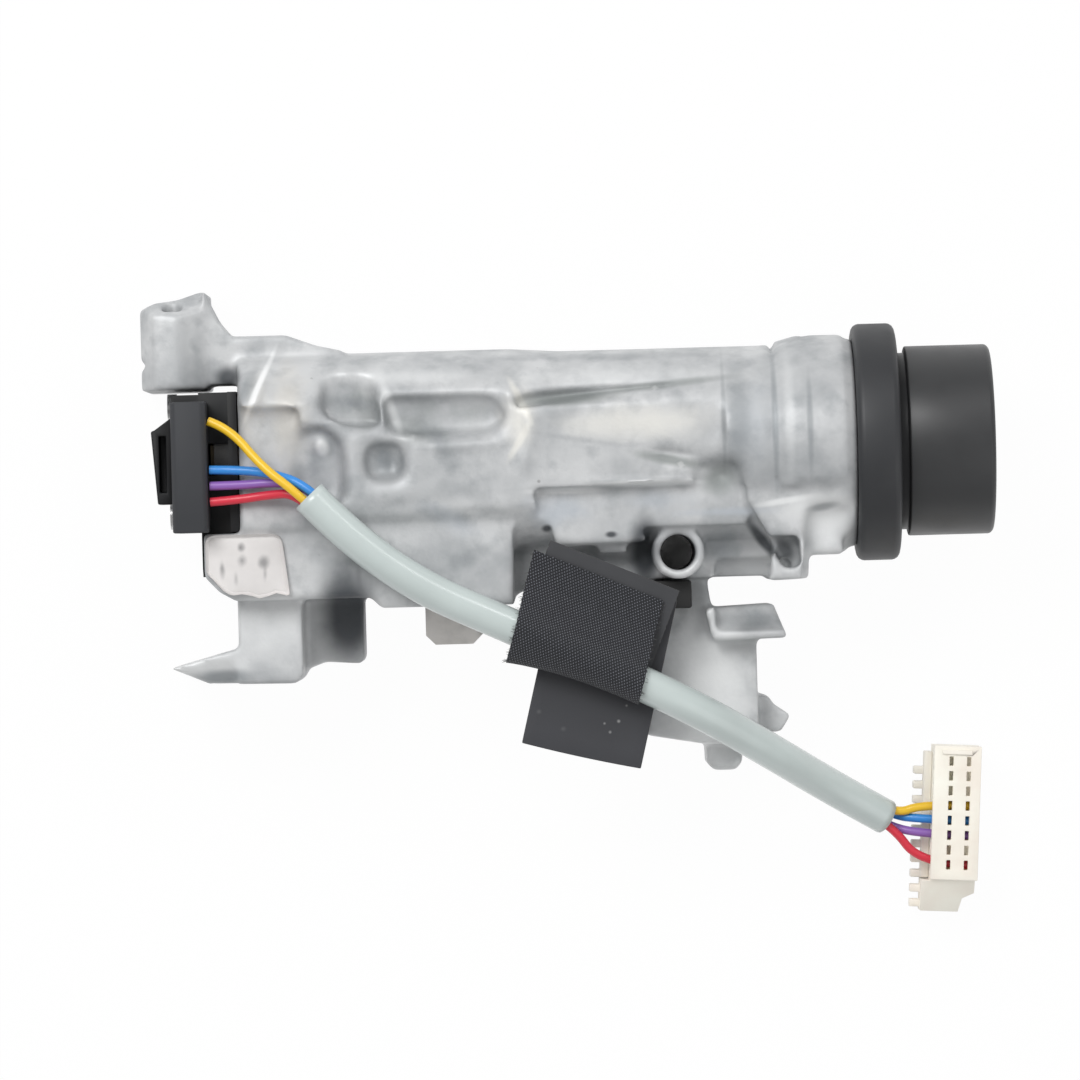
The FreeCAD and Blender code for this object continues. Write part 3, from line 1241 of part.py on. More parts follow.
def directions(points):
    # At each point: along the route, to its left as seen from the front, and up from it.
    result = []
    for i in range(len(points)):
        along = (points[min(i + 1, len(points) - 1)] - points[max(i - 1, 0)]).normalize()
        side = Vector(0, 0, 1).cross(along).normalize()
        result.append((along, side, along.cross(side)))
    return result


def connector_point(x, y, z):
    turned = FreeCAD.Rotation(Vector(0, 0, 1), connector_turn).multVec(Vector(x, y, z))
    return connector_place + turned


def row_y(row):
    return size["row_pitch"] * ((size["row_count"] + 1) / 2 - row)


def make_cable():
    along = sheath_route[1] - sheath_route[0]
    sides = int(size["sheath_sides"])
    outside = sweep("cable_sheath", sided_section(
        sheath_route[0], along, size["sheath_radius"], sides), sheath_route)
    inside = sweep("inside of the sheath", sided_section(
        sheath_route[0], along, size["sheath_bore_radius"] / math.cos(math.pi / sides), sides), sheath_route)
    items = [add_shape("cable_sheath", outside.cut(inside))]
    frames = directions(sheath_route)
    last = len(sheath_route) - 1
    plug_right = size["trunk_left_x"] - size["case_depth"] - size["cover_depth"] + size["plug_width"]
    for (name, (angle, lead, row)), exit_y in zip(wires.items(), blade_places()):
        strand = []
        for i, (point, (along, side, up)) in enumerate(zip(sheath_route, frames)):
            turned = math.radians(angle + strand_turn * i / last)
            offset = (side * math.cos(turned) + up * math.sin(turned)) * size["wire_offset"]
            end_step = {0: -1.8, last: 1.2}.get(i, 0.0)
            strand.append(point + offset + along * end_step)
        face_x = -size["plug_body_left"]
        points = [Vector(plug_right + size["wire_gap"], exit_y, size["wire_exit_z"])]
        points += [Vector(*point) for point in lead]
        points += strand
        points += [connector_point(face_x - size["wire_lead"], row_y(row), size["channel_height"]),
                   connector_point(face_x + size["wire_inset"], row_y(row), size["channel_height"])]
        section = sided_section(
            points[0], points[1] - points[0], size["wire_radius"], int(size["wire_sides"]))
        items.append(add_shape(name, sweep(name, section, points)))
    return items


def make_tape():
    # Section across the cable: round its lower side, flat at the back, and a flag above it.
    start = sheath_route[tape_start]
    end = sheath_route[tape_start + 1]
    along = (end - start).normalize()
    side = Vector(0, 0, 1).cross(along)
    first = start + along * size["tape_lead"]
    outer = size["sheath_radius"] + size["tape_clearance"] + size["tape_thickness"]
    flag = size["tape_flag"]

    def place(across, up):
        return first + side * across + Vector(0, 0, up)

    lean = math.radians(62)
    crown = place(outer * math.cos(lean), outer * math.sin(lean))
    outline = Part.Wire([
        Part.Arc(place(0, -outer), place(-outer, 0), crown).toShape(),
        Part.LineSegment(crown, place(flag * 0.62, -outer + 2.6)).toShape(),
        Part.LineSegment(place(flag * 0.62, -outer + 2.6), place(flag, -outer + 2.4)).toShape(),
        Part.LineSegment(place(flag, -outer + 2.4), place(flag, -outer + 1.2)).toShape(),
        Part.LineSegment(place(flag, -outer + 1.2), place(0, -outer)).toShape(),
    ])
    solid = Part.Face(outline).extrude(along * size["tape_length"])
    hole = Part.makeCylinder(size["sheath_radius"] + size["tape_clearance"],
                             size["tape_length"] + 2, first - along, along)
    return add_shape("cloth_tape", solid.cut(hole))


def make_foam():
    outer = size["sheath_radius"] + size["tape_clearance"] + size["tape_thickness"]
    top = sheath_route[tape_start + 1].z - outer - size["foam_gap"]
    solid = Part.makeBox(size["foam_width"], size["foam_height"], size["foam_thickness"])
    solid = solid.makeFillet(0.4, [edge for edge in solid.Edges if abs(edge.tangentAt(0).z) > 0.9])
    solid.rotate(Vector(), Vector(0, 0, 1), -13.8)
    solid.translate(Vector(-4.0, -49.2, top - size["foam_thickness"]))
    return add_shape("foam_pad", solid)


def place_connector(item):
    turned = FreeCAD.Rotation(Vector(0, 0, 1), connector_turn)
    item.Placement = FreeCAD.Placement(connector_place + shift, turned)
    return item


def local_body(label):
    body = doc.addObject("PartDesign::Body", label)
    body.Label = label
    return place_connector(body)


rows_low = "-row_pitch * (row_count - 1) / 2"
rows_high = "row_pitch * (row_count - 1) / 2"


def make_connector():
    body = local_body("end_connector")
    low = rows_low + " - plug_body_end"
    high = rows_high + " + plug_body_end"
    pad(body, "block", "XY", rectangle("-plug_body_left", "plug_body_right", low, high),
        "0", "plug_body_height")
    pad(body, "skirt", "YZ", [
        (low + " + 1", "0"),
        (low + " + 1", "plug_body_height - 0.6"),
        (low, "plug_body_height - 0.6"),
        (low + " - skirt_length", "plug_body_height - 4.4"),
        (low + " - skirt_length", "0"),
    ], "-plug_body_left - comb_depth", "plug_body_right - 0.4")
    pocket(body, "comb_seat", "XY", rectangle(
        "-plug_body_left - comb_depth - 1", "-plug_body_left",
        rows_low + " - comb_shift - comb_tooth_width / 2 - 0.2", rows_low),
        "-1", "plug_body_height + 1")
    for step in (1, 2):
        middle = rows_low + " - comb_shift - row_pitch * %d" % step
        pad(body, "skirt_tooth_%d" % step, "XY", rectangle(
            "-plug_body_left - comb_depth - comb_tooth", "-plug_body_left - comb_depth + 0.5",
            middle + " - comb_tooth_width / 2", middle + " + comb_tooth_width / 2"),
            "0.8", "0.4 + comb_height")
    pocket(body, "skirt_corner", "XY", [
        ("plug_body_right - 0.4", low + " - 2.2"),
        ("plug_body_right - 2.4", low + " - 3.2"),
        ("plug_body_right - 3.2", low + " - skirt_length - 1"),
        ("plug_body_right + 1", low + " - skirt_length - 1"),
        ("plug_body_right + 1", low + " - 2.2"),
    ], "-1", "plug_body_height + 1")
    pad(body, "end_ridge", "XY", rectangle(
        "-plug_body_left + 1.4", "plug_body_right - 1.6", high + " - 1.4", high + " - 0.7"),
        "plug_body_height - 1", "plug_body_height + 0.35")
    channel = pocket(body, "channel", "YZ", rectangle(
        rows_high + " - channel_size / 2", rows_high + " + channel_size / 2",
        "channel_height - channel_size / 2", "channel_height + channel_size / 2"),
        "-plug_body_left - 1", "plug_body_right + 1")
    repeat_rows(body, [channel], "channels")
    for column, middle in (("left", "-column_pitch / 2"), ("right", "column_pitch / 2")):
        window = pocket(body, column + "_window", "XY", rectangle(
            middle + " - window_width / 2", middle + " + window_width / 2",
            rows_high + " - window_height / 2", rows_high + " + window_height / 2"),
            "plug_body_height - window_depth", "plug_body_height + 1")
        repeat_rows(body, [window], column + "_windows")
    return body


def repeat_rows(body, features, name):
    pattern = body.newObject("PartDesign::LinearPattern", name)
    pattern.Originals = features
    y_axis = [f for f in body.Origin.OriginFeatures if f.Role == "Y_Axis"][0]
    pattern.Direction = (y_axis, [""])
    pattern.Reversed = True
    bind(pattern, "Length", "row_pitch * (row_count - 1)")
    bind(pattern, "Occurrences", "row_count")
    body.Tip = pattern


def make_terminals():
    body = local_body("connector_terminals")
    for name, (angle, lead, row) in wires.items():
        middle = "row_pitch * ((row_count + 1) / 2 - %d)" % row
        pad(body, "terminal_" + name, "YZ", rectangle(
            middle + " - terminal_size / 2", middle + " + terminal_size / 2",
            "channel_height - terminal_size / 2", "channel_height + terminal_size / 2"),
            "-plug_body_left + wire_inset", "-plug_body_left + wire_inset + terminal_length")
    return body


def make_comb():
    body = local_body("connector_comb")
    right = "-plug_body_left"
    left = "-plug_body_left - comb_depth"
    pad(body, "bar", "XY", rectangle(
        left, right, rows_low + " - comb_shift - comb_tooth_width / 2", rows_high + " + 1.4"),
        "0.8", "0.8 + comb_height")
    tooth = pad(body, "tooth", "XY", rectangle(
        left + " - comb_tooth", left + " + 0.2",
        rows_high + " - comb_shift - comb_tooth_width / 2",
        rows_high + " - comb_shift + comb_tooth_width / 2"),
        "0.8", "0.4 + comb_height")
    repeat_rows(body, [tooth], "teeth")
    return body


pieces = [
    make_housing(),
    make_ring(),
    make_sleeve(),
    make_cylinder(),
    make_cylinder_pin(),
    make_key_plug(),
    make_wafers(),
    make_spindle(),
    make_bush(),
    make_slide(),
    make_bolt(),
    make_bolt_pin(),
    make_spring(),
    make_bolt_cover(),
    make_cover_screws(),
    make_switch_case(),
    make_switch_cover(),
    make_contacts(),
    make_switch_screws(),
    make_switch_rotor(),
    make_bridge(),
    make_wire_plug(),
    make_lock_tab(),
    make_buffer(),
    make_label(),
    make_tape(),
    make_foam(),
    make_connector(),
    make_terminals(),
    make_comb(),
] + make_cable()

doc.recompute()
for item in doc.Objects:
    if "Invalid" in item.State or "Error" in item.State:
        raise RuntimeError("%s failed: %s" % (item.Name, item.State))

os.makedirs("parts", exist_ok=True)
for piece in pieces:
    shape = piece.Shape
    if shape.isNull() or not shape.isValid() or not shape.Solids:
        raise RuntimeError("%s has no sound shape" % piece.Label)
    shape.exportStep("parts/%s.step" % piece.Label)
    print("%-20s solids %d volume %.1f" % (piece.Label, len(shape.Solids), shape.Volume))
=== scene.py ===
import math
import random

import bpy
from mathutils import Matrix, Vector, noise


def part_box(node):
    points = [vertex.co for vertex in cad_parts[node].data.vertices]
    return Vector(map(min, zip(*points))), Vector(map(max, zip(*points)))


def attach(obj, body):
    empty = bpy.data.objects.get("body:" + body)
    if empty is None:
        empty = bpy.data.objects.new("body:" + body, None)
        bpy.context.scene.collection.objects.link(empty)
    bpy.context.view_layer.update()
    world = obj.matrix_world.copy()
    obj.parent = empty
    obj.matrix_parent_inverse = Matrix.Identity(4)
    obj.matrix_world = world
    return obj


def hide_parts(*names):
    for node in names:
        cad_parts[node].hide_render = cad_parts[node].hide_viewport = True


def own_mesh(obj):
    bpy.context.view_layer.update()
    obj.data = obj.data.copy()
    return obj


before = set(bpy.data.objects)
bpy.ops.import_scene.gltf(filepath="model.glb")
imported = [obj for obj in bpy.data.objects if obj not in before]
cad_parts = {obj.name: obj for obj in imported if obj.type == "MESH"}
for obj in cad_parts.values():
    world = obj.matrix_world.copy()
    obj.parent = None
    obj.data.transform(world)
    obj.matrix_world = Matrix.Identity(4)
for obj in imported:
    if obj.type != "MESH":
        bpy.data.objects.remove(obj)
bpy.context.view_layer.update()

mm = 0.001
mouthX = 53.7    # the ring's left face, as on the casting's drawing
ringLow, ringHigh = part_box("coil_ring")
ringMiddle = (ringLow + ringHigh) / 2


def spot(x, y, z):
    # Places are read off the casting's drawing: millimetres from the barrel's axis.
    return Vector((ringLow.x + (x - mouthX) * mm, ringMiddle.y + y * mm, ringMiddle.z + z * mm))


# Selecting, copying and finishing pieces

def pick(*pieces):
    bpy.ops.object.select_all(action="DESELECT")
    for piece in pieces:
        piece.select_set(True)
    bpy.context.view_layer.objects.active = pieces[0]


def linkPiece(name, mesh):
    piece = bpy.data.objects.new(name, mesh)
    bpy.context.scene.collection.objects.link(piece)
    pick(piece)
    return piece


def copyOf(nodeName, pieceName, flatAngle=None):
    # A CAD node is loose triangles, so its copy is merged before anything else.
    piece = linkPiece(pieceName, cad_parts[nodeName].data.copy())
    bpy.ops.object.mode_set(mode="EDIT")
    bpy.ops.mesh.select_all(action="SELECT")
    bpy.ops.mesh.remove_doubles(threshold=0.002 * mm)
    if flatAngle:
        bpy.ops.mesh.dissolve_limited(angle_limit=math.radians(flatAngle))
    bpy.ops.object.mode_set(mode="OBJECT")
    return piece


windowed = ("end_connector",)    # its faces have holes, so they stay triangles


def applyModifier(piece, kind, **settings):
    pick(piece)
    bpy.ops.object.modifier_add(type=kind)
    modifier = piece.modifiers[-1]
    for name, value in settings.items():
        setattr(modifier, name, value)
    bpy.ops.object.modifier_apply(modifier=modifier.name)


def smoothByAngle(piece, degrees=35):
    pick(piece)
    bpy.ops.object.shade_smooth_by_angle(angle=math.radians(degrees))


def bevelledCopy(nodeName, pieceName, width, segments=2, degrees=28):
    piece = copyOf(nodeName, pieceName, flatAngle=None if nodeName in windowed else 1.0)
    applyModifier(piece, "BEVEL", width=width, segments=segments, limit_method="ANGLE",
                  angle_limit=math.radians(degrees), harden_normals=False)
    smoothByAngle(piece)
    return piece


def dress(piece, body, slot, material, *replaced):
    piece.data.materials.clear()
    piece.data.materials.append(material)
    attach(piece, body)
    if replaced:
        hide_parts(*replaced)
    return piece


def paint(nodeName, material):
    # A CAD node that keeps its own shape.
    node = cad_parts[nodeName]
    node.data.materials.clear()
    node.data.materials.append(material)


# Shader groups that several finishes share

def newGroup(name, inputs, outputs):
    group = bpy.data.node_groups.new(name, "ShaderNodeTree")
    for label, kind, value in inputs:
        socket = group.interface.new_socket(name=label, in_out="INPUT", socket_type="NodeSocket" + kind)
        socket.default_value = value
    for label, kind in outputs:
        group.interface.new_socket(name=label, in_out="OUTPUT", socket_type="NodeSocket" + kind)
    start = group.nodes.new("NodeGroupInput")
    end = group.nodes.new("NodeGroupOutput")
    return group, start, end


def addNode(tree, kind, **settings):
    node = tree.nodes.new("ShaderNode" + kind)
    for name, value in settings.items():
        setattr(node, name, value)
    return node


def join(tree, source, output, target, socket):
    tree.links.new(source.outputs[output], target.inputs[socket])


def feed(tree, source, node, socket):
    # A source is a (node, output) pair, or a value that the socket itself holds.
    if isinstance(source, tuple) and isinstance(source[0], bpy.types.Node):
        join(tree, *source, node, socket)
    else:
        node.inputs[socket].default_value = source


def calculate(tree, operation, *sources):
    node = addNode(tree, "Math", operation=operation)
    for socket, source in enumerate(sources):
        feed(tree, source, node, socket)
    return node, 0


def mixColours(tree, factor, first, second):
    # Inputs 6 and 7 of a Mix node are its two colours, and output 2 is the result.
    node = addNode(tree, "Mix", data_type="RGBA")
    for socket, source in (("Factor", factor), (6, first), (7, second)):
        feed(tree, source, node, socket)
    return node, 2


def mapRange(tree, source, fromLow, fromHigh, toLow=0.0, toHigh=1.0, **settings):
    node = addNode(tree, "MapRange", **settings)
    sources = {"Value": source, "From Min": fromLow, "From Max": fromHigh, "To Min": toLow, "To Max": toHigh}
    for name, value in sources.items():
        feed(tree, value, node, name)
    return node, "Result"


def addNoise(tree, scale, detail, roughness=0.5):
    node = addNode(tree, "TexNoise")
    sources = {"Vector": (addNode(tree, "TexCoord"), "Object"), "Scale": scale, "Detail": detail,
               "Roughness": roughness}
    for name, value in sources.items():
        feed(tree, value, node, name)
    return node, "Fac"


def makeCloudGroup():
    # Soft patches between two colours, at a scale given in patches per metre.
    group, start, end = newGroup("softPatches", [
        ("Light", "Color", (1, 1, 1, 1)), ("Dark", "Color", (0, 0, 0, 1)),
        ("Scale", "Float", 80.0), ("Low", "Float", 0.4), ("High", "Float", 0.65),
    ], [("Color", "Color"), ("Mask", "Float")])
    cloud = addNoise(group, (start, "Scale"), detail=4.0, roughness=0.55)
    mask = mapRange(group, cloud, (start, "Low"), (start, "High"))
    feed(group, mixColours(group, mask, (start, "Light"), (start, "Dark")), end, "Color")
    feed(group, mask, end, "Mask")
    return group


def makeGrainGroup():
    # Fine surface grain as a height, with its size in grains per metre.
    group, start, end = newGroup("fineGrain", [
        ("Scale", "Float", 2500.0), ("Coarse", "Float", 0.3),
    ], [("Height", "Float")])
    fine = addNoise(group, (start, "Scale"), detail=3.0)
    wide = addNoise(group, calculate(group, "MULTIPLY", (start, "Scale"), 0.12), detail=2.0)
    weighed = calculate(group, "MULTIPLY", wide, (start, "Coarse"))
    feed(group, calculate(group, "ADD", fine, weighed), end, "Height")
    return group


def makeEdgeGroup():
    # Edges painted brighter, as wear and painted highlight, and hollows painted darker as painted shade,
    # from the mesh's pointedness.
    group, start, end = newGroup("edgeWearHighlightAndShade", [
        ("Color", "Color", (0.5, 0.5, 0.5, 1)), ("Edge", "Color", (1, 1, 1, 1)),
        ("Hollow", "Color", (0.1, 0.1, 0.1, 1)), ("Amount", "Float", 1.0),
    ], [("Color", "Color")])
    shape = (addNode(group, "NewGeometry"), "Pointiness")
    last = (start, "Color")
    for low, high, tone in ((0.52, 0.62, "Edge"), (0.48, 0.40, "Hollow")):
        mask = calculate(group, "MULTIPLY", mapRange(group, shape, low, high), (start, "Amount"))
        last = mixColours(group, mask, last, (start, tone))
    feed(group, last, end, "Color")
    return group


def makeShadeGroup():
    # Painted shade that gathers in pockets and along inner corners, from ambient occlusion.
    group, start, end = newGroup("pocketShade", [
        ("Color", "Color", (0.5, 0.5, 0.5, 1)), ("Shade", "Color", (0.1, 0.1, 0.1, 1)),
        ("Reach", "Float", 0.006), ("Amount", "Float", 0.6),
    ], [("Color", "Color")])
    hollow = addNode(group, "AmbientOcclusion", samples=6, only_local=True)
    join(group, start, "Reach", hollow, "Distance")
    deep = mapRange(group, (hollow, "AO"), 0.92, 0.25)
    mask = calculate(group, "MULTIPLY", deep, (start, "Amount"))
    feed(group, mixColours(group, mask, (start, "Color"), (start, "Shade")), end, "Color")
    return group


def makeStainGroup():
    # One soft-edged ellipse round a place on the surface, used for stains, for painted shade and for painted
    # highlights.
    group, start, end = newGroup("softStain", [
        ("Color", "Color", (0.5, 0.5, 0.5, 1)), ("Stain", "Color", (0.1, 0.1, 0.1, 1)),
        ("Place", "Vector", (0, 0, 0)), ("Width", "Float", 0.01), ("Height", "Float", 0.01),
        ("Turn", "Float", 0.0), ("Amount", "Float", 0.5), ("Ragged", "Float", 1.5),
    ], [("Color", "Color")])
    away = addNode(group, "VectorMath", operation="SUBTRACT")
    join(group, addNode(group, "TexCoord"), "Object", away, 0)
    join(group, start, "Place", away, 1)
    turned = addNode(group, "VectorRotate", rotation_type="Z_AXIS", invert=True)
    join(group, away, 0, turned, "Vector")
    join(group, start, "Turn", turned, "Angle")
    split = addNode(group, "SeparateXYZ")
    join(group, turned, 0, split, 0)
    ellipse = addNode(group, "CombineXYZ")
    for axis, reach in (("X", "Width"), ("Y", "Height")):
        feed(group, calculate(group, "DIVIDE", (split, axis), (start, reach)), ellipse, axis)
    far = addNode(group, "VectorMath", operation="LENGTH")
    join(group, ellipse, 0, far, 0)
    ragged = addNoise(group, 260.0, detail=4.0)
    edge = calculate(group, "MULTIPLY_ADD", ragged, (start, "Ragged"), (far, "Value"))
    soft = mapRange(group, edge, 1.9, 0.6, interpolation_type="SMOOTHSTEP")
    mask = calculate(group, "MULTIPLY", soft, (start, "Amount"))
    feed(group, mixColours(group, mask, (start, "Color"), (start, "Stain")), end, "Color")
    return group


groups = {"cloud": makeCloudGroup(), "grain": makeGrainGroup(), "edge": makeEdgeGroup(),
          "shade": makeShadeGroup(), "stainAndLight": makeStainGroup()}


def newMaterial(name, roughness, metallic=0.0, coat=0.0):
    material = bpy.data.materials.new(name)
    material.use_nodes = True
    shader = material.node_tree.nodes["Principled BSDF"]
    shader.inputs["Roughness"].default_value = roughness
    shader.inputs["Metallic"].default_value = metallic
    shader.inputs["Coat Weight"].default_value = coat
    return material, material.node_tree, shader


def placeGroup(tree, key, **sources):
    node = tree.nodes.new("ShaderNodeGroup")
    node.node_tree = groups[key]
    for name, source in sources.items():
        feed(tree, source, node, name)
    return node


def addBump(tree, shader, height, strength, distance):
    bump = addNode(tree, "Bump")
    for name, source in (("Height", height), ("Strength", strength), ("Distance", distance)):
        feed(tree, source, bump, name)
    join(tree, bump, "Normal", shader, "Normal")


def addGrain(tree, shader, scale, strength, distance, coarse=0.3):
    grain = placeGroup(tree, "grain", Scale=scale, Coarse=coarse)
    addBump(tree, shader, (grain, "Height"), strength, distance)


# Soft ellipses laid one over another: stains, and on the casting also painted shade and painted highlights.
def addStains(tree, last, ellipses):
    for x, y, width, height, turn, amount, ragged, colour in ellipses:
        stainAndLight = placeGroup(tree, "stainAndLight", Color=last, Stain=colour, Place=spot(x, y, 0),
                           Width=width * mm, Height=height * mm, Turn=math.radians(turn),
                           Amount=amount, Ragged=ragged)
        last = (stainAndLight, "Color")
    return last


def stainOver(material, ellipses):
    # More stains on top of a finish that is already there.
    tree = material.node_tree
    shader = tree.nodes["Principled BSDF"]
    link = shader.inputs["Base Color"].links[0]
    feed(tree, addStains(tree, (link.from_node, link.from_socket.name), ellipses), shader, "Base Color")
    return material


def varyGloss(tree, shader, cloud, low, high):
    feed(tree, mapRange(tree, (cloud, "Mask"), 0.0, 1.0, low, high), shader, "Roughness")


def grey(value, tint=(1.0, 1.0, 1.0)):
    return (value * tint[0], value * tint[1], value * tint[2], 1.0)


def scaled(colour, factor):
    return tuple(min(1.0, c * factor) for c in colour[:3]) + (1.0,)


castAlloy = {
    "light": grey(0.610, (0.985, 1.0, 1.01)),
    "dark": grey(0.400, (0.965, 1.0, 1.03)),
    "bloom": grey(0.340, (0.95, 1.0, 1.04)),
    # edge is a painted highlight on edges and hollow a painted shade in hollows, and the amount below sets
    # how strong both are; shade is the painted shade that gathers in pockets
    "edge": grey(0.78),
    "hollow": grey(0.30, (0.95, 1.0, 1.03)),
    "wearAndShading": 0.30,
    "shade": grey(0.13, (0.92, 1.0, 1.04)),
    "shadeReach": 6 * mm,
    "shadeAmount": 0.36,
    "patches": 85.0,      # soft patches per metre
    "blooms": 210.0,
    "speck": grey(0.26),
    "specks": 260.0,
    "speckPatches": 150.0,
    "roughness": 0.54,
    "smoother": 0.06,
    "rougher": 0.14,
    "metallic": 0.20,
    "grain": 1700.0,
    "grainStrength": 0.30,
    "grainDepth": 0.10 * mm,
    "coarse": 1.2,
}
# Colours of the casting's soft ellipses. The pale one is used only for painted highlights and painted light.
# The near-black one is used mostly for painted shadow, and blue-grey, slate and moss mostly for painted
# shade. Beige and cream make lighter patches.
beige = (0.66, 0.635, 0.585, 1)
cream = (0.84, 0.825, 0.77, 1)
paleHighlight = (0.88, 0.89, 0.89, 1)
blueGrey = (0.46, 0.50, 0.55, 1)
moss = (0.200, 0.220, 0.212, 1)
slate = (0.19, 0.21, 0.225, 1)
nearBlack = (0.030, 0.036, 0.044, 1)
